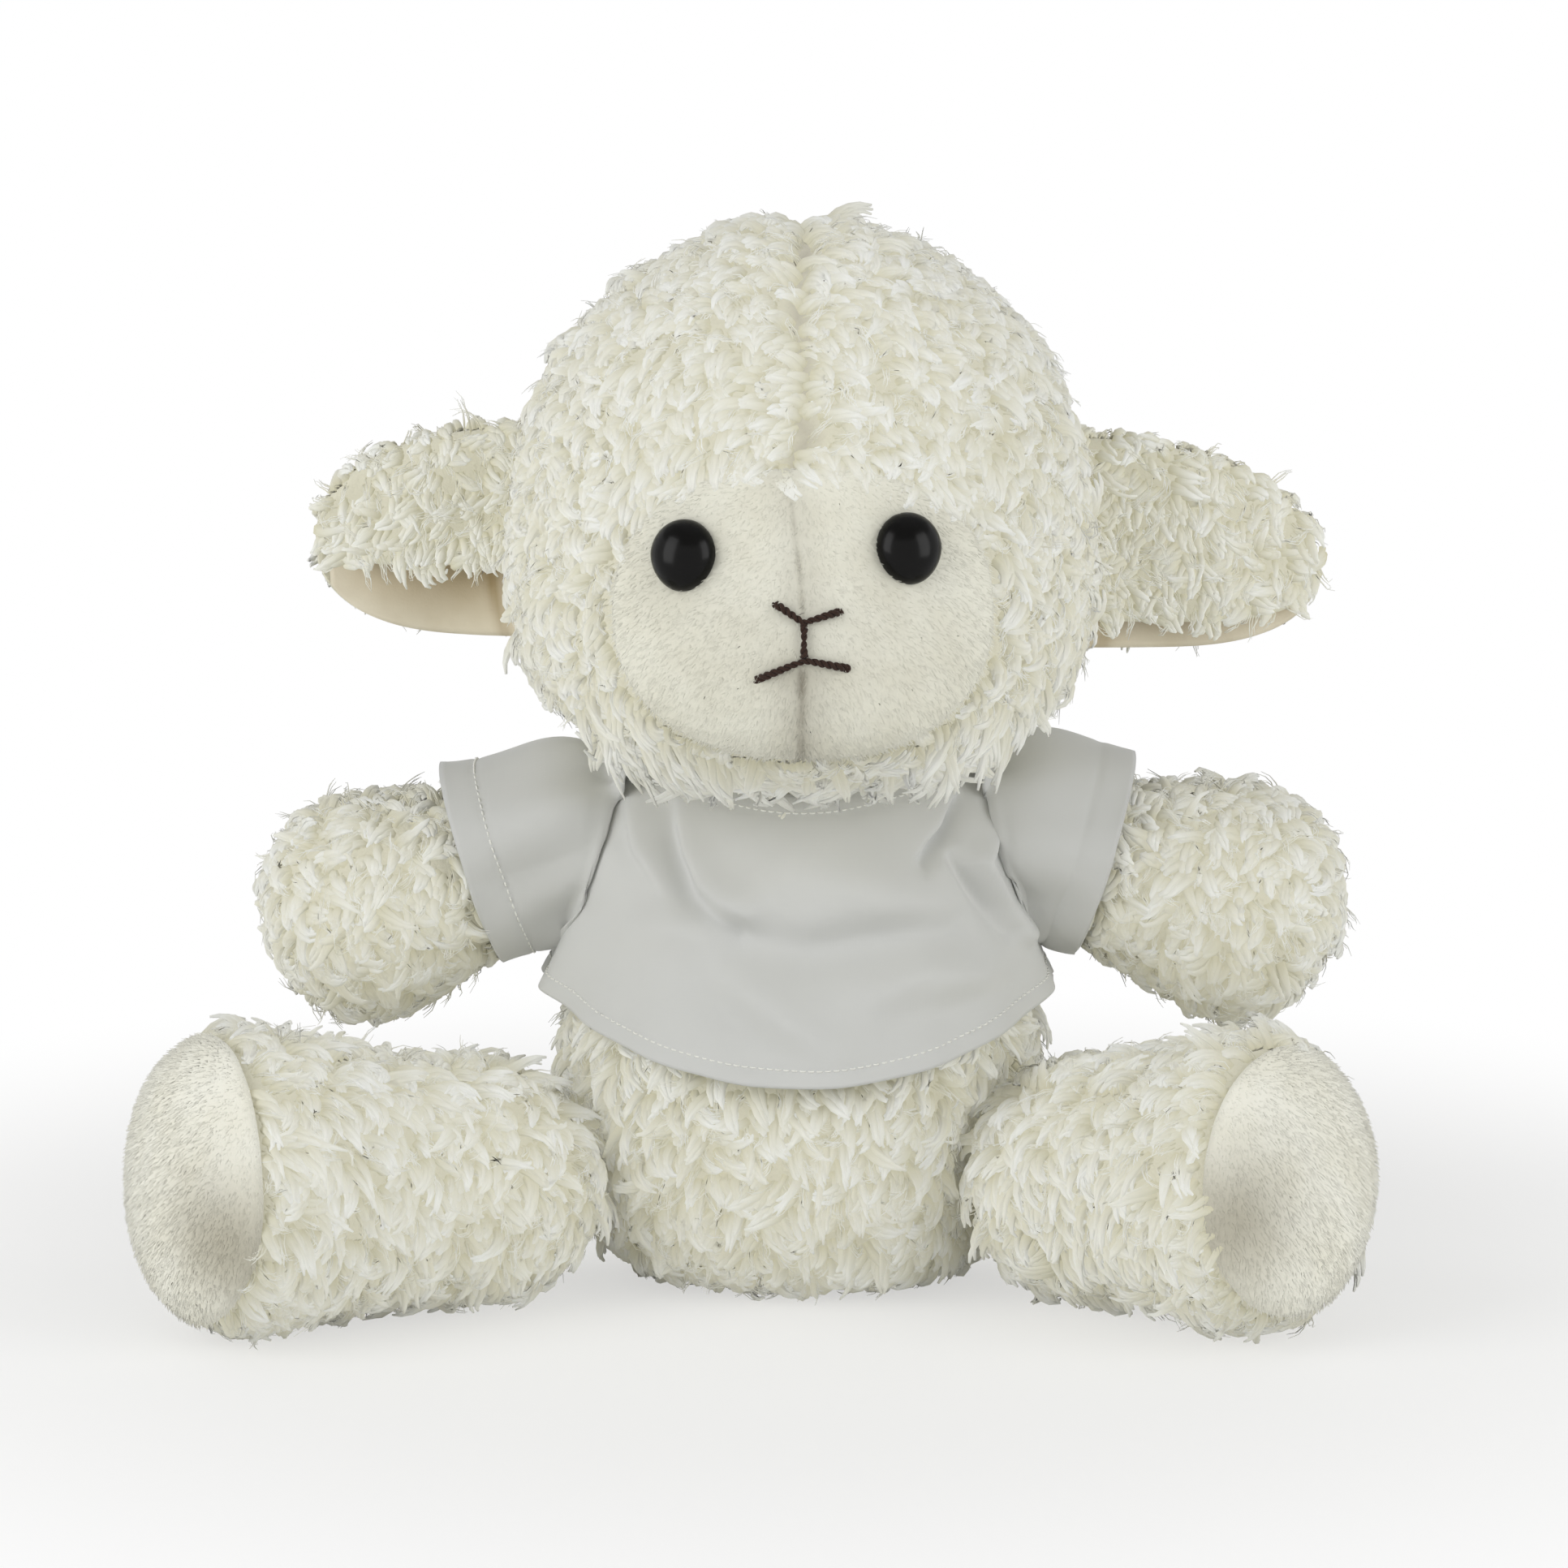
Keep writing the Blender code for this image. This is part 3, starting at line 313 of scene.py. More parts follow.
# %% Camera
PHOTO_SIDE = 1932                     # the photograph's width and height in pixels
PIXEL = 0.18 * MM                     # one pixel of the photograph, at the toy
AIM = Vector((-3.96 * MM, 0.0, 110.8 * MM))
CAMERA_DISTANCE = 1.1
CAMERA_TILT = math.radians(9.0)

lens = bpy.data.cameras.new("product_camera")
lens.sensor_width = 36.0
lens.lens = lens.sensor_width * CAMERA_DISTANCE / (PIXEL * PHOTO_SIDE)
lens.clip_start = 0.01
camera = new_object("product_camera", lens)
camera.location = AIM + Vector((0.0, -math.cos(CAMERA_TILT), math.sin(CAMERA_TILT))) * CAMERA_DISTANCE
camera.rotation_euler = (math.pi / 2.0 - CAMERA_TILT, 0.0, 0.0)
bpy.context.scene.camera = camera
print("lens %.0f mm" % lens.lens)

# %% Lamps and world
bpy.context.scene.view_settings.view_transform = "Standard"


def softbox(name, place, width, height, power):
    lamp = bpy.data.lights.new(name, "AREA")
    lamp.shape = "RECTANGLE"
    lamp.size, lamp.size_y = width, height
    lamp.energy = power
    item = new_object(name, lamp)
    item.location = place
    item.rotation_euler = (AIM - Vector(place)).to_track_quat("-Z", "Y").to_euler()


softbox("key_softbox", (-1.15, -0.75, 0.60), 0.8, 1.5, 10.5)
softbox("fill_softbox", (1.20, -0.70, 0.50), 0.8, 1.4, 9.0)
softbox("top_softbox", (0.1, 0.05, 1.30), 1.1, 0.8, 0.3)

world = bpy.data.worlds.new("studio")
world.use_nodes = True
world.node_tree.nodes["Background"].inputs["Color"].default_value = linear("#FFFFFF")
world.node_tree.nodes["Background"].inputs["Strength"].default_value = 0.44
bpy.context.scene.world = world

# %% Floor and backdrop in one white sweep
SWEEP_RADIUS = 4.0
SWEEP_RISES = ((0.15, 0.55), (0.6, 0.95), (1.6, 1.15), (3.6, 1.25))   # up and out from the floor's rim
SHADOW_REACH = (0.12, 0.34)           # where the floor's own shading fades into plain white
SHADOW_WHITE = 0.55                   # share of plain white that is mixed into the floor by the toy


def make_paper():
    """Shaded paper near the toy, and plain white further out wherever the picture shows it."""
    material = new_material("white_paper", Roughness=0.9, Specular_IOR_Level=0.1,
                            Base_Color=linear("#F6F6F4"))
    tree = material.node_tree
    spot = add(tree, "ShaderNodeNewGeometry").outputs["Position"]
    reach = add(tree, "ShaderNodeVectorMath", {0: spot}, operation="LENGTH").outputs["Value"]
    far = ranged(tree, reach, {"From Min": SHADOW_REACH[0], "From Max": SHADOW_REACH[1]},
                 interpolation_type="SMOOTHSTEP")
    path = add(tree, "ShaderNodeLightPath").outputs
    seen = combine(tree, "MAXIMUM", path["Is Camera Ray"], path["Is Glossy Ray"])
    seen = combine(tree, "MAXIMUM", seen, path["Is Transmission Ray"])
    both = combine(tree, "MULTIPLY", seen, ranged(tree, far, {"To Min": SHADOW_WHITE}))
    glow = add(tree, "ShaderNodeEmission", {"Color": "#FFFFFF", "Strength": 1.0})
    mix = add(tree, "ShaderNodeMixShader", {0: both, 1: tree.nodes["Principled BSDF"].outputs[0],
                                            2: glow.outputs[0]})
    tree.links.new(mix.outputs[0], tree.nodes["Material Output"].inputs["Surface"])
    return material


def make_sweep():
    bm = bmesh.new()
    bmesh.ops.create_circle(bm, cap_ends=True, segments=96, radius=SWEEP_RADIUS)
    rim = [edge for edge in bm.edges if edge.is_boundary]
    for rise, out in SWEEP_RISES:
        grown = bmesh.ops.extrude_edge_only(bm, edges=rim)["geom"]
        for item in grown:
            if isinstance(item, bmesh.types.BMVert):
                flat = Vector((item.co.x, item.co.y, 0.0)).normalized()
                item.co = flat * (SWEEP_RADIUS + out) + Vector((0.0, 0.0, rise))
        rim = [item for item in grown if isinstance(item, bmesh.types.BMEdge)]
    mesh = bpy.data.meshes.new("white_sweep")
    bm.to_mesh(mesh)
    bm.free()
    mesh.shade_smooth()
    mesh.materials.append(make_paper())
    new_object("white_sweep", mesh)


make_sweep()
print("white sweep, shadow kept near the toy")


# %% [markdown]
# ## Meshes from arrays
#
# Fleece needs tens of thousands of strands, too many to build one at a time. Working out all the
# points at once in numpy and handing them to Blender in one go takes a second or two. The same
# helpers also make the smooth forms under the pile and the cloth of the shirt.

# %% Mesh helpers
def mesh_piece(name, points, faces, material, attributes=None, uv=None, normals=None):
    """An object from arrays. faces has one row of corners a face, or is (corners, face sizes)."""
    corners, sizes = faces if isinstance(faces, tuple) else (np.ravel(faces), np.full(*np.shape(faces)))
    mesh = bpy.data.meshes.new(name)
    mesh.vertices.add(len(points))
    mesh.vertices.foreach_set("co", np.asarray(points, np.float32).ravel())
    mesh.loops.add(len(corners))
    mesh.loops.foreach_set("vertex_index", np.asarray(corners, np.int32))
    mesh.polygons.add(len(sizes))
    starts = np.concatenate(([0], np.cumsum(sizes)[:-1]))
    mesh.polygons.foreach_set("loop_start", starts.astype(np.int32))
    mesh.update(calc_edges=True)
    mesh.validate()
    mesh.shade_smooth()
    for label, values in (attributes or {}).items():
        layer = mesh.attributes.new(label, "FLOAT", "POINT")
        layer.data.foreach_set("value", np.asarray(values, np.float32))
    if uv is not None:
        layer = mesh.uv_layers.new(name="cloth")
        layer.data.foreach_set("uv", np.asarray(uv, np.float32)[np.asarray(corners)].ravel())
    if normals is not None:
        mesh.normals_split_custom_set_from_vertices(np.asarray(normals, np.float32))
    mesh.materials.append(material)
    return new_object(name, mesh)


def dress(piece, body, slot, *replaced, fill=None):
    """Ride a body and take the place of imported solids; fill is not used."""
    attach(piece, body)
    if replaced:
        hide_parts(*replaced)


def thicken(item, thickness):
    step = item.modifiers.new("cloth_thickness", "SOLIDIFY")
    step.thickness = thickness
    step.offset = -1.0


def unit(vectors):
    return vectors / np.maximum(np.linalg.norm(vectors, axis=-1, keepdims=True), 1e-12)


def clamp(value, low=0.0, high=1.0):
    return min(max(value, low), high)


def bell(distance, width):
    """1 in the middle, fading to nothing over about twice the width."""
    return math.exp(-(distance / width) ** 2)


def radial(turn):
    """The level direction at a turn round the toy's middle; turn 0 is its left."""
    return Vector((math.cos(turn), math.sin(turn), 0.0))


def along_axis(points, start, axis):
    """How far each point lies along a line from its start."""
    return (points - np.array(start)) @ np.array(axis)


def point_normals(points, faces):
    """Area-weighted normals of a triangle mesh at its points."""
    corners = points[faces]
    flat = np.cross(corners[:, 1] - corners[:, 0], corners[:, 2] - corners[:, 0])
    normals = np.zeros_like(points)
    for index in range(3):
        np.add.at(normals, faces[:, index], flat)
    return unit(normals)


def grid_quads(rows, columns):
    """Faces of a grid that has one more point than faces each way."""
    first = (np.arange(rows)[:, None] * (columns + 1) + np.arange(columns)).ravel()
    return np.column_stack([first, first + columns + 1, first + columns + 2, first + 1])


def tube_faces(rings, around):
    """Corners and face sizes of a closed tube."""
    near = np.arange(rings - 1)[:, None] * around + np.arange(around)
    beside = np.roll(near, -1, axis=1)
    walls = np.stack([near, beside, beside + around, near + around], axis=-1).ravel()
    caps = np.concatenate([np.arange(around)[::-1], around * (rings - 1) + np.arange(around)])
    return np.concatenate([walls, caps]), [4] * (around * (rings - 1)) + [around, around]


def relax(points, faces, rounds):
    """Each point drifts half way to the middle of its neighbours, some rounds over."""
    pairs = np.concatenate([faces[:, [0, 1]], faces[:, [1, 2]], faces[:, [2, 0]]])
    counts = np.bincount(pairs.ravel(), minlength=len(points))[:, None]
    for _ in range(rounds):
        total = np.zeros_like(points)
        np.add.at(total, pairs[:, 0], points[pairs[:, 1]])
        np.add.at(total, pairs[:, 1], points[pairs[:, 0]])
        points = 0.5 * points + 0.5 * total / counts
    return points


# %% [markdown]
# ## Stuffed forms
#
# Each stuffed piece is a fleece bag pulled round by its filling. A ball of points is drawn onto
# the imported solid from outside, like shrink-wrap, then relaxed until the facets of the solid have
# gone. What is left is the backing of the fleece, a few millimetres inside the tips of the pile.

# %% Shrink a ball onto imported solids
REACH = 0.2                           # where the rays start, well outside every piece
NUDGE = 0.5 * MM                      # rays are doubled this far apart, to miss hairline gaps


def node_points(name):
    return np.array([vert.co for vert in frame["nodes"][name].data.vertices])


def solid_tree(*names):
    """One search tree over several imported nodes."""
    points, faces = [], []
    for name in names:
        mesh = frame["nodes"][name].data
        first = len(points)
        points += [vert.co.copy() for vert in mesh.vertices]
        faces += [[first + index for index in face.vertices] for face in mesh.polygons]
    return BVHTree.FromPolygons(points, faces)


def stuffed_shape(names, start, end, rounds=8):
    """Points, faces and normals of a ball drawn onto the nodes, stretched from start to end."""
    tree = solid_tree(*names)
    bm = bmesh.new()
    bmesh.ops.create_icosphere(bm, subdivisions=5, radius=1.0)
    faces = np.array([[vert.index for vert in face.verts] for face in bm.faces])
    turn = (end - start).to_track_quat("Z", "Y")
    points = []
    for vert in bm.verts:
        middle = start.lerp(end, (vert.co.z + 1.0) / 2.0)
        out = turn @ vert.co
        across = out.orthogonal() * NUDGE
        far = 0.0
        for nudge in (across, -across, out.cross(across)):
            hit = tree.ray_cast(middle + out * REACH + nudge, -out, REACH)
            if hit[0]:
                far = max(far, REACH - hit[3])
        points.append(middle + out * far)
    bm.free()
    points = relax(np.array(points), faces, rounds)
    return {"points": points, "faces": faces, "normals": point_normals(points, faces)}


def inset(shape, depth):
    """The shape moved inwards by a depth for each point."""
    faces = shape["faces"]
    points = relax(shape["points"] - shape["normals"] * depth[:, None], faces, 2)
    return {"points": points, "faces": faces, "normals": point_normals(points, faces)}


def lumps(points, size, seed):
    """Smooth noise from -1 to 1 at each point."""
    shift = Vector((seed * 7.3, seed * 3.1, seed * 5.7))
    return np.array([noise.noise(Vector(point) / size + shift) for point in points])


def swirl(points, size, seed):
    """A smooth random direction at each point, so that neighbours turn the same way."""
    shift = Vector((seed * 1.7, seed * 4.9, seed * 2.3))
    return np.array([noise.noise_vector(Vector(point) / size + shift) for point in points])


def tree_of(shape):
    return BVHTree.FromPolygons([Vector(point) for point in shape["points"]], shape["faces"].tolist())


def ground_piece(name, shape, attributes=None):
    """The knitted ground of the fleece, coloured as the root of its pile: the painted shade deep under the
    locks.
    """
    count = len(shape["points"])
    marks = {"along": np.full(count, 0.05), "tone": np.full(count, 0.6), **(attributes or {})}
    return mesh_piece(name, shape["points"], shape["faces"], sherpa_ground, marks)


# %% [markdown]
# ## Pile
#
# A lock is a bundle of fibres that leave the backing over a few square millimetres, gather, and
# curl round together. Here each lock is five fat six-sided strands with closed ends, and loose
# wisps of thin three-sided ones lie between. Locks are scattered evenly over a shape. Each picks a
# way to lean and a tightness of curl, neighbours in a tuft lean alike, and the strands follow
# their lock with small differences. Tight curls make the popcorn fleece of head and arms, and
# longer ones combed downwards the hanging pile of belly and legs.
#
# Strands as coarse as these would throw hard dark streaks, which real fibre, fine and
# see-through, does not. So they cast no shadow and take no part in bounced light, and the form's
# own normals are mixed into theirs, which evens the light over a tuft.

# %% Scatter roots over a shape
OVERSAMPLED = 2.2                     # places tried for each that is kept when locks keep apart
LEAST_GAP_SHARE = 0.78                # of the spacing, between two locks


def scatter(shape, spacing, keep, rng, spaced):
    """Evenly spread roots: their places and normals."""
    points, faces = shape["points"], shape["faces"]
    corners = points[faces]
    areas = np.linalg.norm(np.cross(corners[:, 1] - corners[:, 0], corners[:, 2] - corners[:, 0]), axis=1)
    count = int(areas.sum() / 2.0 / spacing ** 2 * (OVERSAMPLED if spaced else 1.0))
    chosen = rng.choice(len(faces), size=count, p=areas / areas.sum())
    shares = rng.random((count, 2))
    over = shares.sum(axis=1) > 1.0
    shares[over] = 1.0 - shares[over]
    weights = np.column_stack([1.0 - shares.sum(axis=1), shares])
    places = np.einsum("nk,nkc->nc", weights, corners[chosen])
    normals = unit(np.einsum("nk,nkc->nc", weights, shape["normals"][faces[chosen]]))
    kept = keep(places, normals)
    places, normals = places[kept], normals[kept]
    if not spaced:
        return places, normals
    cells, taken = {}, []
    least = (LEAST_GAP_SHARE * spacing) ** 2
    for index, place in enumerate(places):
        i, j, k = np.floor(place / spacing).astype(int)
        near = [other for di in (-1, 0, 1) for dj in (-1, 0, 1) for dk in (-1, 0, 1)
                for other in cells.get((i + di, j + dj, k + dk), ())]
        if all(((places[other] - place) ** 2).sum() > least for other in near):
            cells.setdefault((i, j, k), []).append(index)
            taken.append(index)
    return places[taken], normals[taken]


# %% Strands of each lock
def strand_paths(places, normals, combs, swell, look, rng):
    """Points along every strand, as an array of locks x strands x steps x 3."""
    count = len(places)
    lean = combs * look["comb"] + rng.normal(size=(count, 3)) * 0.35
    lean = unit(lean - (lean * normals).sum(axis=1, keepdims=True) * normals)
    aside = np.cross(normals, lean)
    rise = unit(normals + look["lean"] * lean)
    swing = rng.uniform(-look["swing"], look["swing"], (count, 1))
    bend = lean * np.cos(swing) + aside * np.sin(swing)
    bend = unit(bend - (bend * rise).sum(axis=1, keepdims=True) * rise)
    axle = np.cross(rise, bend)
    curl = np.radians(rng.uniform(*look["curl"], (count, 1)))
    length = look["length"] * rng.uniform(0.8, 1.2, (count, 1)) * swell[:, None]
    pitch = rng.uniform(-0.35, 0.35, (count, 1))

    strands, steps = look["strands"], look["steps"]
    share = np.linspace(0.0, 1.0, steps)
    curls = (curl * (1.0 + 0.16 * rng.normal(size=(count, strands))))[:, :, None]
    lengths = (length * (1.0 + 0.12 * rng.normal(size=(count, strands))))[:, :, None]
    turn = curls * share ** 1.15
    heading = (np.cos(turn)[..., None] * rise[:, None, None] + np.sin(turn)[..., None]
               * bend[:, None, None] + pitch[:, :, None, None] * axle[:, None, None])
    stride = heading * (lengths / (steps - 1))[..., None]
    path = np.concatenate([np.zeros_like(stride[:, :, :1]), np.cumsum(stride[:, :, :-1], axis=2)], axis=2)
    spread = look["spread"] * np.sqrt(rng.random((count, strands)))
    angle = rng.uniform(0.0, 2.0 * math.pi, (count, strands))
    root = ((np.cos(angle) * spread)[..., None] * lean[:, None]
            + (np.sin(angle) * spread)[..., None] * aside[:, None])
    path = path + root[:, :, None] * (1.0 - look["gather"] * share)[:, None]
    crimp = np.sin(share * 9.0 + rng.uniform(0.0, 6.28, (count, strands, 1))) * look["crimp"] * share
    path = path + crimp[..., None] * axle[:, None, None]
    height = (path * normals[:, None, None]).sum(axis=-1)
    path = path + np.maximum(0.0, look["clear"] * share - height)[..., None] * normals[:, None, None]
    return path + places[:, None, None]


def strand_tubes(path, look, ups, rng):
    """Closed tapering tubes round the strands: points, faces, shares, normals and streaks."""
    strands, steps = path.shape[1:3]
    around = look["sides"]
    path = path.reshape(-1, steps, 3)
    heading = unit(np.gradient(path, axis=1))
    across = unit(np.cross(heading, rng.normal(size=(len(path), 1, 3))))
    down = np.cross(heading, across)
    share = np.linspace(0.0, 1.0, steps)
    thick = rng.uniform(0.75, 1.2, (len(path), 1, 1))
    radius = 0.5 * look["width"] * thick * (1.0 - look["taper"] * share ** 1.8)[:, None]
    angles = np.arange(around) * 2.0 * math.pi / around
    sides = [across * (math.cos(angle) * radius) + down * (math.sin(angle) * radius) for angle in angles]
    points = np.stack([path + side for side in sides], axis=2)
    own = unit(np.stack(sides, axis=2))
    own[:, -1] = unit(own[:, -1] + heading[:, -1, None])
    form = np.repeat(ups, strands, axis=0)[:, None, None]
    normals = unit(own * (1.0 - look["soft"]) + form * look["soft"])
    away = np.clip(0.25 - (normals * own).sum(axis=-1, keepdims=True), 0.0, None)
    normals = unit(normals + away * own)      # none lies against its own face, which would go black
    corners, sizes = tube_faces(steps, around)
    corners = (corners[None] + (np.arange(len(path)) * around * steps)[:, None]).ravel()
    streaks = np.empty(points.shape[:3] + (2,))
    streaks[..., 0] = np.arange(around) / around
    streaks[..., 1] = share[None, :, None] + rng.random((len(path), 1, 1)) * 50.0
    return (points.reshape(-1, 3), (corners, np.tile(sizes, len(path))),
            np.tile(np.repeat(share, around), len(path)), normals.reshape(-1, 3), streaks.reshape(-1, 2))


# %% Grow pile as pieces
TUFT_SIZE = 8 * MM                    # locks within one tuft lean the same way
FLOOR_CLEAR = 0.3 * MM                # nothing reaches the table itself
# of one piece, so that none is thinned out on its way to STL
MOST_FACES = 90000                    # of one piece; more pile is split into more pieces
TALLY = []


def hollow_under(shape, spots):
    """How much shade is painted on the cloth under each spot."""
    if "hollow" not in shape:
        return np.zeros(len(spots))
    tree = tree_of(shape)
    faces = [tree.find_nearest(Vector(spot))[2] for spot in spots]
    return np.asarray(shape["hollow"])[shape["faces"][faces]].mean(axis=1)


def grow(name, body, slot, shape, look, keep, comb, material, seed):
    """Pile over a shape, in as many pieces as it needs; comb gives each root its way to lie."""
    rng = np.random.default_rng(seed)
    places, normals = scatter(shape, look["spacing"], keep, rng, look["strands"] > 1)
    order = np.lexsort((places[:, 2], np.arctan2(places[:, 1], places[:, 0]).round(1)))
    places, normals = places[order], normals[order]
    faces_each = look["sides"] * (look["steps"] - 1) + 2
    points_each = look["strands"] * look["steps"] * look["sides"]
    parts = math.ceil(len(places) * look["strands"] * faces_each / MOST_FACES)
    faces_made = 0
    for index, chosen in enumerate(np.array_split(np.arange(len(places)), max(parts, 1))):
        spots, ups = places[chosen], normals[chosen]
        ways = comb(spots, ups) + look["tuft"] * swirl(spots, TUFT_SIZE, seed % 500)
        swell = 1.0 + look["swell"] * lumps(spots, TUFT_SIZE, seed % 500)
        path = strand_paths(spots, ups, ways, swell, look, rng)
        low = look["width"] / 2.0 + FLOOR_CLEAR
        path[..., 2] = np.where(path[..., 2] < low, low + 0.05 * (low - path[..., 2]), path[..., 2])
        points, faces, along, soft, streaks = strand_tubes(path, look, ups, rng)
        # Marks for the painted shade: along each strand, and of the cloth under its root.
        marks = {"along": along, "tone": np.repeat(rng.random(len(spots)), points_each),
                 "hollow": np.repeat(hollow_under(shape, spots), points_each)}
        piece = mesh_piece(name + ("_%d" % (index + 1) if parts > 1 else ""), points, faces, material,
                           marks, uv=streaks, normals=soft)
        piece.visible_diffuse = False
        piece.visible_shadow = False
        dress(piece, body, slot)
        faces_made += len(piece.data.polygons)
    TALLY.append(faces_made)
    print("%s: %d locks, %d faces in %d pieces" % (name, len(places), faces_made, max(parts, 1)))


def fleece(name, body, shape, look, keep, comb, seed):
    """Locks with loose wisps between them."""
    grow(name + "_locks", body, "fleece", shape, look, keep, comb, sherpa, seed)
    grow(name + "_wisps", body, "fleece", shape, dict(WISPS, soft=look["soft"]), keep, comb, sherpa,
         seed + 500)


POPCORN = {"spacing": 3.4 * MM, "strands": 5, "sides": 6, "steps": 6, "length": 7.0 * MM,
           "width": 2.2 * MM, "taper": 0.75, "curl": (110.0, 240.0), "lean": 0.6, "comb": 0.9,
           "swing": 0.8, "spread": 2.2 * MM, "gather": 0.65, "crimp": 0.3 * MM, "clear": 0.9 * MM,
           "soft": 0.55, "tuft": 1.6, "swell": 0.35}
WISPS = {"spacing": 3.0 * MM, "strands": 5, "sides": 3, "steps": 5, "length": 6.4 * MM,
         "width": 0.34 * MM, "taper": 0.7, "curl": (60.0, 240.0), "lean": 0.5, "comb": 0.8,
         "swing": 1.2, "spread": 1.2 * MM, "gather": 0.6, "crimp": 0.4 * MM, "clear": 1.1 * MM,
         "tuft": 1.2, "swell": 0.3}
NAP = {"spacing": 0.70 * MM, "strands": 1, "sides": 3, "steps": 3, "length": 1.4 * MM,
       "width": 0.34 * MM, "taper": 0.85, "curl": (10.0, 50.0), "lean": 0.8, "comb": 1.6,
       "swing": 0.5, "spread": 0.0, "gather": 0.0, "crimp": 0.0, "clear": 0.2 * MM, "soft": 0.93,
       "tuft": 0.0, "swell": 0.0}
HANGING = dict(POPCORN, length=8.0 * MM, width=2.0 * MM, curl=(60.0, 210.0), lean=0.8, comb=1.9, tuft=1.2)
RUFF = dict(HANGING, length=12.5 * MM, curl=(20.0, 100.0), lean=1.1, comb=2.6, tuft=0.9)
FRINGE = dict(HANGING, length=7.0 * MM, curl=(20.0, 120.0), lean=0.9, comb=2.0)
EAR_LOCKS = dict(POPCORN, length=6.0 * MM, width=1.9 * MM, soft=0.3)


def downwards(places, normals):
    return np.tile([0.0, 0.0, -1.0], (len(places), 1))


# %% [markdown]
# ## Torso
#
# The torso is a pear of fleece. Most of it hides under the shirt, where the pile is pressed flat,
# so pile grows only below the hem. The sockets where the legs are sewn on stay bare as well.

# %% Torso backing
PILE_DEPTH = 4.0 * MM                 # from the tips of the pile down to the backing
PRESSED_DEPTH = 7.0 * MM              # under the shirt, where filling and pile give way to its folds
TORSO_LOW = Vector((0.0, 0.0, 42 * MM))
TORSO_HIGH = Vector((0.0, 0.0, 84 * MM))
PILE_TOP_SIDE = 72 * MM              # where the shirt's hem hides the pile's upper edge
PILE_TOP_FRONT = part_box("shirt_front")[0].z
PILE_TOP_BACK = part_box("shirt_back_left")[0].z
SEAT_CLEAR = 1.2 * MM                 # below this no pile points at the table

torso_shape = stuffed_shape(("body_skin", "body_stuffing"), TORSO_LOW, TORSO_HIGH)
hips = {hand: Vector(JOINTS["leg_%s_swing" % hand]["pos_m"]) for hand in HANDS}
HIP_RADIUS = (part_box("leg_left_skin")[1].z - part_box("leg_left_skin")[0].z) / 2.0 * 0.83

torso_base = inset(torso_shape, np.interp(torso_shape["points"][:, 2], (58 * MM, 76 * MM),
                                          (PILE_DEPTH, PRESSED_DEPTH)))
dress(ground_piece("torso_fleece", torso_base), "torso", "fleece", "body_skin", "body_stuffing", fill=0.8)
print("torso backing:", len(torso_base["points"]), "points")


# %% Belly pile
def off_table(places, normals):
    return (places[:, 2] > SEAT_CLEAR) | (normals[:, 2] > -0.8)


def on_belly(places, normals):
    """Below the hem, which is lowest in front and highest at the sides, and clear of the hips."""
    ahead = -unit(places[:, :2])[:, 1]
    middle = np.where(ahead > 0, PILE_TOP_FRONT, PILE_TOP_BACK)
    top = PILE_TOP_SIDE + (middle - PILE_TOP_SIDE) * ahead ** 2
    clear = places[:, 2] < top - 2 * MM
    for hip in hips.values():
        clear &= np.linalg.norm(places - np.array(hip), axis=1) > HIP_RADIUS
    return clear & off_table(places, normals)


fleece("belly", "torso", torso_base, HANGING, on_belly, downwards, 11)


# %% [markdown]
# ## Legs
#
# A leg is a fat sausage that ends in a round sole. The pile hangs down over its sides, and next to
# the sole it leans back from it, so that the seam stays in sight. Where the leg meets the table it
# is pressed flat. The sole is a separate disc of short pile, sewn in.

# %% Leg backing and pile
SOLE_SHARES = {"left": 0.90, "right": 0.87}   # how far along each leg the fleece gives way to the sole
SOLE_DEPTH = 1.6 * MM                 # of the backing at the sole's seam, where the pile is short
TORSO_HALF = (52 * MM, 46 * MM)       # no pile grows on the leg inside the torso
legs = {}


def make_leg(hand, seed):
    hip = hips[hand]
    sole = node_points("sole_" + hand)
    axis = (Vector(sole.mean(axis=0)) - hip).normalized()
    reach = max((Vector(point) - hip).dot(axis) for point in sole)
    solids = ("leg_%s_skin" % hand, "leg_%s_stuffing" % hand)
    shape = stuffed_shape((*solids, "sole_" + hand), hip, hip + axis * (reach - 30 * MM))
    seam = SOLE_SHARES[hand] * reach
    base = inset(shape, np.interp(along_axis(shape["points"], hip, axis), (seam - 4 * MM, seam),
                                  (PILE_DEPTH, SOLE_DEPTH)))
    dress(ground_piece("leg_%s_fleece" % hand, base), "leg_" + hand, "fleece", *solids, fill=0.85)
    legs[hand] = (hip, axis, seam, shape)

    def on_leg(places, normals):
        inside = np.hypot(places[:, 0] / TORSO_HALF[0], places[:, 1] / TORSO_HALF[1]) < 1.0
        return (along_axis(places, hip, axis) < seam - 3.0 * MM) & ~inside & off_table(places, normals)

    def from_sole(places, normals):
        near = np.clip(1.0 - (seam - along_axis(places, hip, axis)) / (12 * MM), 0.0, 1.0)
        return downwards(places, normals) - 1.6 * near[:, None] * np.array(axis)

    fleece("leg_" + hand, "leg_" + hand, base, HANGING, on_leg, from_sole, seed)


make_leg("left", 21)
make_leg("right", 22)


# %% [markdown]
# ## Soles
#
# Each sole is an oval of short pile, eased into the end of the leg. Its edge turns in, so it
# swells like a small cushion, and the filling leaves a soft hollow to one side, with its shade
# painted into the pile's colour.

# %% Soles
# Middles of the soles' dents, where shade is painted too.
SOLE_HOLLOWS = {"left": (0.85, -0.15), "right": (-0.85, -0.30)}   # in shares of the sole's radius
SOLE_RADIUS = 28 * MM
SOLE_CLEAR = 0.6 * MM                 # of the table


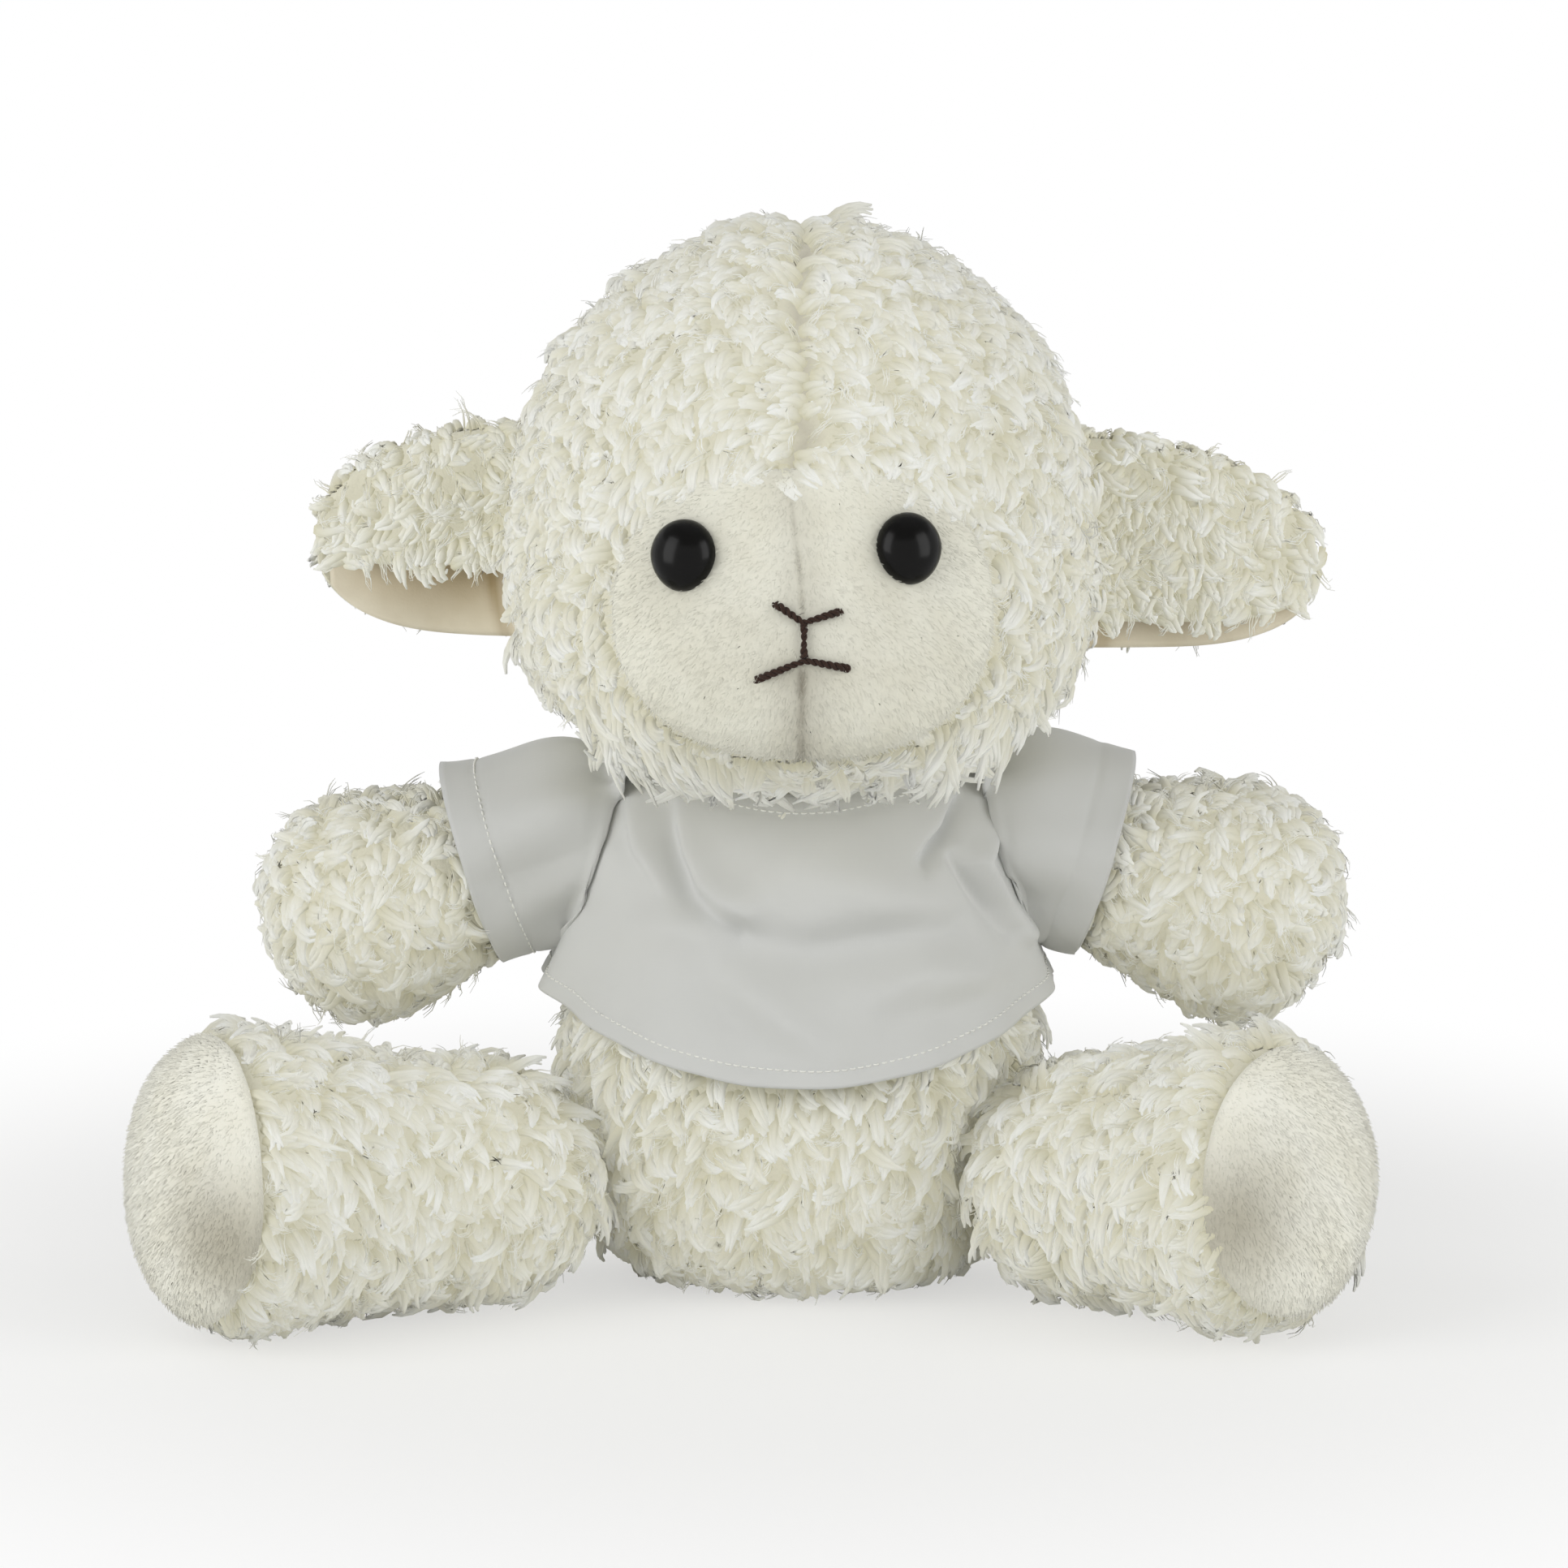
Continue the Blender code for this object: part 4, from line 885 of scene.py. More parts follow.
def polar_patch(radius, rings, turns, place, facing):
    """A round patch whose faces look along facing. radius gives its reach at an angle, and place
    gives the point for a distance aside, a distance up and a share of that reach."""
    angles = [2.0 * math.pi * step / turns for step in range(turns)]
    reaches = [radius(angle) for angle in angles]
    points = [place(0.0, 0.0, 0.0)]
    for ring in range(1, rings + 1):
        share = ring / rings
        for angle, reach in zip(angles, reaches):
            points.append(place(reach * share * math.cos(angle), reach * share * math.sin(angle), share))
    faces = [(0, 1 + step, 1 + (step + 1) % turns) for step in range(turns)]
    for ring in range(rings - 1):
        for step in range(turns):
            a = 1 + ring * turns + step
            b = 1 + ring * turns + (step + 1) % turns
            faces += [(a, a + turns, b), (b, a + turns, b + turns)]
    points, faces = np.array([tuple(point) for point in points]), np.array(faces)
    normals = point_normals(points, faces)
    if (normals @ np.array(facing)).mean() < 0:
        faces, normals = faces[:, ::-1], -normals
    return {"points": points, "faces": faces, "normals": normals}


def make_sole(hand, seed):
    hip, axis, seam, shape = legs[hand]
    tree = tree_of(shape)
    side = axis.cross(UP).normalized()
    up = side.cross(axis)
    # The middle of the dent and of the shade painted in it.
    hollow = Vector(SOLE_HOLLOWS[hand])
    hollows = []

    def sole_radius(angle):
        out = side * math.cos(angle) + up * math.sin(angle)
        return REACH - tree.ray_cast(hip + axis * seam + out * REACH, -out, REACH)[3]

    def sole_point(across, rise, share):
        spot = hip + side * across + up * rise
        hit = tree.ray_cast(spot + axis * REACH, -axis, REACH)
        place = hit[0] if hit[0] else spot + axis * (REACH / 4.0)
        dent = bell((Vector((across, rise)) / SOLE_RADIUS - hollow).length, 0.5)
        # Painted shade, darkest in the middle of the dent.
        hollows.append(0.75 * dent)
        return place + axis * (1.4 * MM * (1.0 - share ** 4) - 1.6 * MM * dent - 1.2 * MM * share ** 10)

    patch = polar_patch(sole_radius, 26, 96, sole_point, axis)
    patch["points"][:, 2] = np.maximum(patch["points"][:, 2], SOLE_CLEAR)
    patch["hollow"] = hollows
    sole = mesh_piece("sole_%s_plush" % hand, patch["points"], patch["faces"], sole_velvet,
                      {"hollow": hollows})
    thicken(sole, 1.0 * MM)
    dress(sole, "leg_" + hand, "sole_plush", "sole_" + hand, fill=0.7)
    grow("sole_%s_nap" % hand, "leg_" + hand, "sole_plush", patch, NAP,
         lambda places, normals: np.ones(len(places), bool), downwards, sole_velvet, seed)
    print("sole_%s: %.0f mm across" % (hand, 2000 * sole_radius(0.0)))


make_sole("left", 71)
make_sole("right", 72)


# %% [markdown]
# ## Arms
#
# The arms have the tightest curls of all. The part inside the sleeve is pressed flat.

# %% Arm backing and pile
SLEEVE_DEPTH = 4.5 * MM               # of the backing inside the sleeve
arms = {}


def make_arm(hand, seed):
    shoulder = Vector(JOINTS["arm_%s_raise" % hand]["pos_m"])
    solids = ("arm_%s_skin" % hand, "arm_%s_stuffing" % hand)
    skin = node_points(solids[0])
    tip = Vector(skin[np.argmax(np.linalg.norm(skin - np.array(shoulder), axis=1))])
    axis = (tip - shoulder).normalized()
    shape = stuffed_shape(solids, shoulder, shoulder + axis * ((tip - shoulder).length - 26 * MM))
    cuff = along_axis(node_points("sleeve_" + hand), shoulder, axis).max() - 2 * MM
    base = inset(shape, np.interp(along_axis(shape["points"], shoulder, axis),
                                  (cuff - 6 * MM, cuff + 3 * MM), (SLEEVE_DEPTH, PILE_DEPTH)))
    dress(ground_piece("arm_%s_fleece" % hand, base), "arm_" + hand, "fleece", *solids, fill=0.8)
    arms[hand] = (shoulder, axis, cuff, tree_of(shape))

    def on_arm(places, normals):
        return along_axis(places, shoulder, axis) > cuff + 1.5 * MM

    fleece("arm_" + hand, "arm_" + hand, base, POPCORN, on_arm, downwards, seed)


make_arm("left", 31)
make_arm("right", 32)


# %% [markdown]
# ## Head
#
# The head is one big ball with full cheeks. A seam runs over its crown from the back to the face,
# and the curls part along it. The face panel is sewn into the front, so no pile grows there. The
# curls round it lean over its edge: a short fringe at the brow, and under the chin a ruff of longer
# locks that hides the neck of the shirt. The same long locks on the nape close the gap to the
# collar when the head turns or nods.

# %% Head backing
HEAD_LOW = Vector((0.0, -3 * MM, 160 * MM))
HEAD_HIGH = Vector((0.0, -3 * MM, 182 * MM))
FACE_DEPTH = 2.6 * MM                 # of the backing behind the face panel
head_shape = stuffed_shape(("head_cover", "face_panel", "head_stuffing"), HEAD_LOW, HEAD_HIGH, rounds=10)
head_tree = tree_of(head_shape)
face_low, face_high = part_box("face_panel")
FACE_MIDDLE = (face_low + face_high) / 2.0
FACE_HALF = (face_high - face_low) / 2.0


def face_share(x, z):
    """How far a place is from the middle of the face panel, 1 on its edge: a rounded shield."""
    across = np.abs(x) / FACE_HALF.x
    rise = (z - FACE_MIDDLE.z) / FACE_HALF.z
    power = np.where(rise > 0, 2.5, 2.2)
    across = across * np.where(rise > 0, 1.0 + 0.06 * rise ** 2, 1.0)
    return (across ** power + np.abs(rise) ** power) ** (1.0 / power)


def front_share(places):
    """The face share of places on the front of the head, and far off the panel for the rest."""
    return np.where(places[:, 1] < -25 * MM, face_share(places[:, 0], places[:, 2]), 9.0)


spots = head_shape["points"]
inside_face = front_share(spots) < 0.98
seam_groove = np.exp(-(spots[:, 0] / (2.2 * MM)) ** 2) * (spots[:, 2] > 150 * MM)
head_depth = np.where(inside_face, FACE_DEPTH, PILE_DEPTH) + 1.8 * MM * seam_groove
head_base = inset(head_shape, head_depth - 0.9 * MM * lumps(spots, 11 * MM, 1) * ~inside_face)
# Painted shade in the groove of the crown's seam.
dress(ground_piece("head_fleece", head_base, {"hollow": 0.8 * seam_groove}), "head", "fleece",
      "head_cover", "head_stuffing", fill=0.85)
print("head backing:", len(head_base["points"]), "points")


# %% Head pile
SEAM_HALF = 0.5 * MM
NECK_MIDDLE = np.array(JOINTS["head_nod"]["pos_m"])
BROW_LEVEL = FACE_MIDDLE.z + 20 * MM
CHIN_LEVEL = FACE_MIDDLE.z - 18 * MM


def neck_gap(places):
    return np.linalg.norm(places - NECK_MIDDLE, axis=1)


def on_head(places, normals):
    face = front_share(places) < np.where(places[:, 2] > BROW_LEVEL, 0.97, 1.02)
    seam = (np.abs(places[:, 0]) < SEAM_HALF) & (places[:, 2] > 170 * MM)
    return ~face & ~seam & (neck_gap(places) >= 38.5 * MM)


def from_seam(places, normals):
    """Away from the crown's seam near it, and otherwise gently down."""
    near = np.exp(-np.abs(places[:, 0]) / (5 * MM)) * (places[:, 2] > 165 * MM)
    away = np.zeros_like(places)
    away[:, 0] = np.sign(places[:, 0]) * near * 5.0
    return away + downwards(places, normals)


def under_chin(places, normals):
    share = front_share(places)
    return (share > 1.04) & (share < 1.34) & (places[:, 2] < CHIN_LEVEL)


def over_brow(places, normals):
    share = front_share(places)
    return (share > 0.98) & (share < 1.12) & (places[:, 2] > BROW_LEVEL)


def over_nape(places, normals):
    gap = neck_gap(places)
    return (gap > 33 * MM) & (gap < 47 * MM) & ~under_chin(places, normals)


fleece("head", "head", head_base, POPCORN, on_head, from_seam, 41)
for name, look, keep, seed in (("nape_ruff", RUFF, over_nape, 45), ("brow_fringe", FRINGE, over_brow, 43),
                               ("chin_ruff", RUFF, under_chin, 44)):
    grow(name, "head", "fleece", head_base, look, keep, downwards, sherpa, seed)


# %% [markdown]
# ## Face panel
#
# Two pieces of short pile meet in a seam down the middle of the face. The seam pulls a groove
# into the plush above the nose and below the mouth, and the eyes sit in shallow dimples, because
# their washers draw the cloth in from behind. Shade is painted into the plush in the groove, along
# the seam, in the dimples and over the muzzle.

# %% Face panel
SEAM_WIDTH = 0.95 * MM
DIMPLE_WIDTH = 8.5 * MM
EYE_NUDGES = {"left": (-1.5 * MM, -0.7 * MM), "right": (1.0 * MM, -1.0 * MM)}
AHEAD = Vector((0.0, -1.0, 0.0))      # the way the face looks
INWARD = Vector((0.0, 1.0, 0.0))
EYE_PLACES = {}
for hand in HANDS:
    low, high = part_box("eye_" + hand)
    aside, rise = EYE_NUDGES[hand]
    EYE_PLACES[hand] = Vector(((low.x + high.x) / 2.0 + aside, 0.0, (low.z + high.z) / 2.0 + rise))
NOSE_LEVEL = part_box("nose_stitch")[0].z + 0.9 * MM
MOUTH_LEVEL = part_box("mouth_stitch")[1].z - 0.9 * MM


def face_radius(angle):
    """Distance from the panel's middle to its edge, found by halving."""
    near, far = 0.0, 2.0 * max(FACE_HALF)
    for _ in range(30):
        middle = (near + far) / 2.0
        spot = face_share(middle * math.cos(angle), FACE_MIDDLE.z + middle * math.sin(angle))
        near, far = (middle, far) if spot < 1.0 else (near, middle)
    return near


def on_front(tree, x, z):
    """Place and normal where a line from the front meets a tree."""
    return tree.ray_cast(Vector((x, -REACH, z)), INWARD)[:2]


def seam_line(z):
    """The seam wanders to the toy's right above the nose."""
    return -3.6 * MM * clamp((z - NOSE_LEVEL - 3 * MM) / (28 * MM)) ** 1.5 - 0.2 * MM


face_hollows = []


def face_point(x, rise, share):
    z = FACE_MIDDLE.z + rise
    place, normal = on_front(head_tree, x, z)
    open_seam = clamp((abs(z - (NOSE_LEVEL + MOUTH_LEVEL) / 2.0) - 3 * MM) / (4 * MM))
    below = z < MOUTH_LEVEL
    off_seam = x - seam_line(z)
    uneven = 0.7 + 0.6 * noise.noise(Vector((0.0, 0.0, z / (5 * MM))))
    groove = bell(off_seam, SEAM_WIDTH * (1.0 if below else 0.6)) * open_seam * uneven
    broad = bell(off_seam, (5.5 if below else 4.5) * MM) * open_seam
    dimple = max(bell(math.hypot(x - eye.x, z - eye.z), DIMPLE_WIDTH) for eye in EYE_PLACES.values())
    muzzle = math.exp(-((x / (19 * MM)) ** 2 + ((z - MOUTH_LEVEL - 3 * MM) / (15 * MM)) ** 2))
    lift = 0.6 * MM * (1.0 - share ** 6) - 1.6 * MM * share ** 14
    lift += 1.0 * MM * muzzle - 0.9 * MM * dimple - 0.8 * MM * groove - 0.35 * MM * broad
    # Painted shade: in the seam's groove, broadly along the seam and in the eye dimples; over the muzzle it
    # is added below.
    shade = (0.55 if below else 0.25) * groove + (0.32 if below else 0.18) * broad + 0.12 * dimple
    face_hollows.append(min(shade + 0.16 * muzzle, 1.0))
    return place + AHEAD.lerp(normal, 0.5) * lift


face_patch = polar_patch(face_radius, 60, 200, face_point, AHEAD)
face_patch["hollow"] = face_hollows
face = mesh_piece("face_plush", face_patch["points"], face_patch["faces"], face_velvet,
                  {"hollow": face_hollows})
thicken(face, 1.0 * MM)
dress(face, "head", "smooth_plush", "face_panel", fill=0.8)
face_tree = tree_of(face_patch)


# %% Nap of the face
def face_comb(places, normals):
    """Down and outwards, away from the seam."""
    comb = downwards(places, normals)
    comb[:, 0] = 0.7 * np.tanh(places[:, 0] / (8 * MM))
    return comb


def beside_eyes(places, normals):
    gaps = [np.hypot(places[:, 0] - eye.x, places[:, 2] - eye.z) for eye in EYE_PLACES.values()]
    return np.min(gaps, axis=0) > 6.6 * MM


grow("face_nap", "head", "smooth_plush", face_patch, NAP, beside_eyes, face_comb, face_velvet, 51)


# %% [markdown]
# ## Eyes
#
# A safety eye is a domed button on a shank. These are a touch taller than wide and a little
# narrower below, and they sit in the plush so that the pile closes round their rim.

# %% Eyes
EYE_RADIUS = 7.1 * MM
EYE_HEIGHT = 5.4 * MM                 # of the dome
EYE_BACK = 1.6 * MM                   # depth of its rounded back
EYE_TALLER = 1.07
EYE_EGG = 0.09                        # how much narrower it is at its foot
EYE_RISE = 0.7 * MM                   # of its rim over the plush


def make_eye(hand):
    spot = EYE_PLACES[hand]
    place, _ = on_front(face_tree, spot.x, spot.z)
    _, normal = on_front(head_tree, spot.x, spot.z)
    bm = bmesh.new()
    bmesh.ops.create_uvsphere(bm, u_segments=64, v_segments=40, radius=1.0)
    for vert in bm.verts:
        x, y, z = vert.co
        narrow = 1.0 - EYE_EGG * max(-y, 0.0)
        vert.co = (x * EYE_RADIUS * narrow, y * EYE_RADIUS * EYE_TALLER,
                   (EYE_HEIGHT if z > 0 else EYE_BACK) * z)
    side = UP.cross(normal).normalized()
    turn = Matrix((side, normal.cross(side), normal)).transposed().to_4x4()
    bm.transform(Matrix.Translation(place + normal * EYE_RISE) @ turn)
    mesh = bpy.data.meshes.new("eye_button_" + hand)
    bm.to_mesh(mesh)
    bm.free()
    mesh.shade_smooth()
    mesh.materials.append(eye_gloss)
    dress(new_object("eye_button_" + hand, mesh), "head", "eye_gloss", "eye_" + hand)


for hand in HANDS:
    make_eye(hand)
print("eyes %.1f mm wide" % (2000 * EYE_RADIUS))


# %% [markdown]
# ## Nose and mouth
#
# Three hand stitches draw the face: a wide V for the nose, a short line for the lip and a roof
# for the mouth. The yarn is two plies twisted together. It comes up out of the plush at one end
# and dives back into it at the other, and the mouth ends in a small knot.

# %% Twisted yarn
PLY_RADIUS = 0.48 * MM
PLY_OFFSET = 0.42 * MM
PLY_TWIST = 3.0 * MM                  # length of one turn
YARN_STEP = 0.22 * MM                 # between two points of a ply
KNOT_RADIUS = 0.5 * MM
KNOT_TURNS = 2.2


def tube(path, radius, sides=8):
    """Points and faces of a closed tube with a radius for each point of its path."""
    path = np.asarray(path, float)
    heading = unit(np.gradient(path, axis=0))
    across = unit(np.cross(heading, [0.13, 0.97, 0.21]))
    down = np.cross(heading, across)
    angles = np.linspace(0.0, 2.0 * math.pi, sides, endpoint=False)[None, :, None]
    radius = np.broadcast_to(radius, len(path))[:, None, None]
    rim = (np.cos(angles) * across[:, None] + np.sin(angles) * down[:, None]) * radius
    return (path[:, None] + rim).reshape(-1, 3), tube_faces(len(path), sides)


def join_tubes(tubes):
    points = np.concatenate([made for made, _ in tubes])
    firsts = np.cumsum([0] + [len(made) for made, _ in tubes])
    corners = np.concatenate([first + faces[0] for first, (_, faces) in zip(firsts, tubes)])
    return points, (corners, sum((faces[1] for _, faces in tubes), []))


def run_of(route):
    """How far along a route each of its points lies."""
    return np.concatenate(([0.0], np.cumsum(np.linalg.norm(np.diff(route, axis=0), axis=1))))


def points_at(marks, run, route):
    """Places on a route at some distances along it."""
    return np.column_stack([np.interp(marks, run, route[:, axis]) for axis in range(3)])


def yarn_route(stops, steps_each=14):
    """Places on the face along straight stitches between stops, dipping in at both ends."""
    flat = []
    for (x0, z0), (x1, z1) in zip(stops, stops[1:]):
        for step in range(steps_each):
            share = step / steps_each
            flat.append((x0 + (x1 - x0) * share, z0 + (z1 - z0) * share))
    flat.append(stops[-1])
    route = []
    for index, (x, z) in enumerate(flat):
        place, normal = on_front(face_tree, x, z)
        end = min(index, len(flat) - 1 - index) / 3.0
        rise = (1.0 if end >= 1.0 else -1.2 + 2.2 * end) * MM
        route.append(place + normal * rise)
    return np.array(route)


def knot_at(middle):
    turns = np.linspace(0.0, KNOT_TURNS * 2.0 * math.pi, 60)
    loop = np.column_stack([np.cos(turns) * KNOT_RADIUS, (-0.6 - np.sin(turns * 0.5) * 0.4) * MM,
                            np.sin(turns) * KNOT_RADIUS])
    return tube(middle + loop, PLY_RADIUS * 0.9)


def twisted_yarn(name, node, stops, knotted=False, waist=0.72):
    route = yarn_route(stops)
    run = run_of(route)
    fine = np.linspace(0.0, run[-1], int(run[-1] / YARN_STEP))
    route = points_at(fine, run, route)
    heading = unit(np.gradient(route, axis=0))
    across = unit(np.cross(heading, INWARD))
    down = np.cross(heading, across)
    thick = waist + (1.05 - waist) * np.abs(np.cos(math.pi * fine / run[-1])) ** 0.7
    tubes = []
    for phase in (0.0, math.pi):
        angle = fine / PLY_TWIST * 2.0 * math.pi + phase
        offset = across * np.cos(angle)[:, None] + down * np.sin(angle)[:, None]
        tubes.append(tube(route + offset * PLY_OFFSET * thick[:, None], PLY_RADIUS * thick))
    if knotted:
        tubes.append(knot_at(route[-6]))
    dress(mesh_piece(name, *join_tubes(tubes), brown_yarn), "head", "yarn", node)


def beside(level, *steps):
    """Stops on the face from steps in mm, across and up from a level."""
    return [(x * MM, level + z * MM) for x, z in steps]


twisted_yarn("nose_yarn", "nose_stitch", beside(NOSE_LEVEL, (-6.2, 4.3), (0.0, 0.0), (8.5, 2.7)))
twisted_yarn("lip_yarn", "lip_stitch", beside(NOSE_LEVEL, (0.2, 0.6)) + beside(MOUTH_LEVEL, (0.2, -0.4)),
             waist=0.6)
twisted_yarn("mouth_yarn", "mouth_stitch", beside(MOUTH_LEVEL, (-10.5, -4.7), (0.2, 0.0), (9.8, -2.0)),
             knotted=True)
print("nose, lip and mouth")


# %% [markdown]
# ## Ears
#
# Each ear is a leaf of fleece lined with short pile. It is folded over along its top, so from the
# front the fleece flap shows above and the lining below. The toy's right ear shows more lining
# than its left one.

# %% Ear sheets
EAR_BEND = 0.62                       # share of the half height where the fold begins
EAR_LEAN = 0.45                       # how far the lower rim stands out of the ear's middle plane
EAR_FLAPS = {"left": -0.72, "right": -0.30}   # how low the front flap hangs, in half heights
EAR_DROOPS = {"left": 6.0 * MM, "right": 2.5 * MM}
EAR_DEPTH = 5.0 * MM
EAR_TUCK = 5 * MM                     # how deep the ear's root is sewn into the head's pile
EAR_RIM = 4.5 * MM                    # the lower rim is bare cloth, turned over the seam
EAR_ALONG, EAR_ACROSS = 40, 72


def ear_section(hand, across):
    """Depth and level of the folded leaf, from its lower rim up the back and down the front flap."""
    third = 3.0 * across
    if third < 1.0:
        return (EAR_LEAN + (1.0 - EAR_LEAN) * math.sin(third * math.pi / 2.0),
                -1.0 + (1.0 + EAR_BEND) * third)
    if third < 2.0:
        angle = math.pi * (third - 1.0)
        return math.cos(angle), EAR_BEND + (1.0 - EAR_BEND) * math.sin(angle)
    return -1.0, EAR_BEND + (EAR_FLAPS[hand] - EAR_BEND) * (third - 2.0)


def ear_shape(hand, sink, last):
    """A grid over the folded leaf up to a share of its length, sunk towards its inside."""
    mirror = HANDS[hand]
    low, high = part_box("ear_%s_outer" % hand)
    tip = max(abs(low.x), abs(high.x))
    half = (high.z - low.z) / 2.0 - 0.6 * MM
    pivot = Vector(JOINTS["ear_%s_swing" % hand]["pos_m"])
    points = []
    for i in range(EAR_ALONG + 1):
        along = last * i / EAR_ALONG
        tall = max(1.0 - along ** 2.8, 0.0) ** 0.5
        for j in range(EAR_ACROSS + 1):
            depth, level = ear_section(hand, j / EAR_ACROSS)
            hit = head_tree.ray_cast(Vector((mirror * REACH, pivot.y + depth * EAR_DEPTH,
                                             pivot.z + level * half)), Vector((-mirror, 0.0, 0.0)))
            root = (abs(hit[0].x) if hit[0] else abs(pivot.x)) - EAR_TUCK
            wave = 0.6 * MM * math.sin(9.0 * along + 2.0 * level)
            points.append((mirror * (root + (tip - root) * along),
                           pivot.y + depth * EAR_DEPTH * (0.05 + 0.95 * tall) + wave,
                           pivot.z + level * half * tall - EAR_DROOPS[hand] * along ** 2))
    points = np.array(points)
    faces = grid_quads(EAR_ALONG, EAR_ACROSS)[:, [0, 1, 3, 3, 1, 2]].reshape(-1, 3)[:, ::mirror]
    normals = point_normals(points, faces)
    if ((points[:, 1] - pivot.y) * normals[:, 1]).mean() < 0:
        faces, normals = faces[:, ::-1], -normals
    return {"points": points - normals * sink, "faces": faces, "normals": normals}


def lining_shade():
    """Painted shade under the fold and in the crease by the root: browner in the middle of the ear and by
    its root, paler towards the rim.
    """
    along, across = np.meshgrid(np.arange(EAR_ALONG + 1) / EAR_ALONG, np.arange(EAR_ACROSS + 1) / EAR_ACROSS,
                                indexing="ij")
    shade = 0.75 * np.exp(-((along - 0.4) / 0.42) ** 2) * np.clip(across * 9.0, 0.0, 1.0)
    crease = 0.5 * np.exp(-((along - 0.16 - 0.3 * across) / 0.035) ** 2)
    return np.clip(shade + crease, 0.0, 1.0).ravel()


def fold_cloth(piece, hand, slot, node, thickness):
    """Thicken one folded sheet of the ear, let it ride the ear and hide the imported sheet it replaces."""
    thicken(piece, thickness)
    dress(piece, "ear_" + hand, slot, node)


def make_ear(hand, seed):
    outer = ear_shape(hand, 0.6 * MM, 0.985)
    leaf = ground_piece("ear_%s_fleece" % hand, outer)
    fold_cloth(leaf, hand, "fleece", "ear_%s_outer" % hand, 0.8 * MM)
    rim = outer["points"].reshape(EAR_ALONG + 1, EAR_ACROSS + 1, 3)[:, 0]

    def off_rim(places, normals):
        low = np.interp(np.abs(places[:, 0]), np.abs(rim[:, 0]), rim[:, 2])
        return (places[:, 2] > low + EAR_RIM) | (normals[:, 1] < 0.0)

    fleece("ear_" + hand, "ear_" + hand, outer, EAR_LOCKS, off_rim, downwards, seed)
    inner = ear_shape(hand, 2.0 * MM, 0.93)
    # The lining carries painted shade under the fold and in its root crease.
    lining = mesh_piece("ear_%s_plush" % hand, inner["points"], inner["faces"], lining_velvet,
                        {"hollow": lining_shade()})
    fold_cloth(lining, hand, "ear_lining", "ear_%s_lining" % hand, 0.6 * MM)


make_ear("left", 61)
make_ear("right", 62)
print("ears folded and lined")


# %% [markdown]
# ## T-shirt
#
# The shirt is a tube of jersey with a curved hem, two set-in sleeves and a lapped back. It is cut
# close, so it spans from the shoulders to the chest like a taut sheet. That is how it is made here:
# each level is the tightest loop round torso and shoulders, cut off flat where a sleeve is set in.
# Folds are then pressed in where the real cloth is pulled: from the armholes and the corners of
# the neck, and in a shallow hollow between chest and belly.

# %% Body of the shirt: a taut loop at each level
SHIRT_EASE = 1.4 * MM
KNIT_THICKNESS = 0.7 * MM
HEM_WIDTH = 3.4 * MM
CUFF_WIDTH = 7.4 * MM
LAP = math.radians(11.0)              # each back edge passes the middle by this angle
LAP_RISE = 2.6 * MM                   # the upper lap rides over the tapes
SEAM_TOP = {"left": (41.5 * MM, 114 * MM), "right": (-40.5 * MM, 115 * MM)}
SEAM_FOOT = {"left": (51.5 * MM, 79 * MM), "right": (-52.5 * MM, 80 * MM)}
NECK_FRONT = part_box("shirt_front")[1].z + 1.5 * MM
NECK_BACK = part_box("shirt_back_left")[1].z
HEM_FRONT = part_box("shirt_front")[0].z - 1.0 * MM
HEM_SIDE = 68 * MM
HEM_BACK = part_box("shirt_back_left")[0].z
TURNS = 240

torso_tree = tree_of(torso_shape)
arm_trees = {hand: arms[hand][3] for hand in HANDS}


def seam_reach(hand, z):
    """How far out the armhole's plane lies at a level."""
    (x0, z0), (x1, z1) = SEAM_TOP[hand], SEAM_FOOT[hand]
    return abs(x0 + (x1 - x0) * (z - z0) / (z1 - z0))


def taut_loop(z):
    """Distance from the toy's middle line to the cloth at each turn, on one level."""
    spots = []
    for index in range(TURNS):
        turn = 2.0 * math.pi * index / TURNS
        out = Vector((math.cos(turn), math.sin(turn), 0.0))
        start = out * REACH + Vector((0.0, 0.0, z))
        hits = [tree.ray_cast(start, -out, REACH) for tree in [torso_tree, *arm_trees.values()]]
        far = max([REACH - hit[3] for hit in hits if hit[0]] or [24 * MM])
        limit = seam_reach("left" if out.x > 0 else "right", z) - 0.5 * MM
        spot = out * (far + SHIRT_EASE)
        if abs(spot.x) > limit:
            spot *= limit / abs(spot.x)
        spots.append((spot.x, spot.y))
    hull = convex_loop(spots)
    return [loop_reach(hull, 2.0 * math.pi * index / TURNS) for index in range(TURNS)]


def convex_loop(spots):
    """Corners of the tightest convex loop round some flat points, anticlockwise."""
    spots = sorted(set(spots))
    sides = []
    for run in (spots, spots[::-1]):
        side = []
        for spot in run:
            while len(side) > 1 and ((side[-1][0] - side[-2][0]) * (spot[1] - side[-2][1])
                                     <= (side[-1][1] - side[-2][1]) * (spot[0] - side[-2][0])):
                side.pop()
            side.append(spot)
        sides += side[:-1]
    return sides


def loop_reach(hull, turn):
    """Where a line from the middle at this turn crosses the loop."""
    cos, sin = math.cos(turn), math.sin(turn)
    for (x0, y0), (x1, y1) in zip(hull, hull[1:] + hull[:1]):
        side0, side1 = cos * y0 - sin * x0, cos * y1 - sin * x1
        if side0 <= 0.0 < side1 or side1 <= 0.0 < side0:
            share = side0 / (side0 - side1)
            reach = (x0 + (x1 - x0) * share) * cos + (y0 + (y1 - y0) * share) * sin
            if reach > 0.0:
                return reach
    return 30 * MM


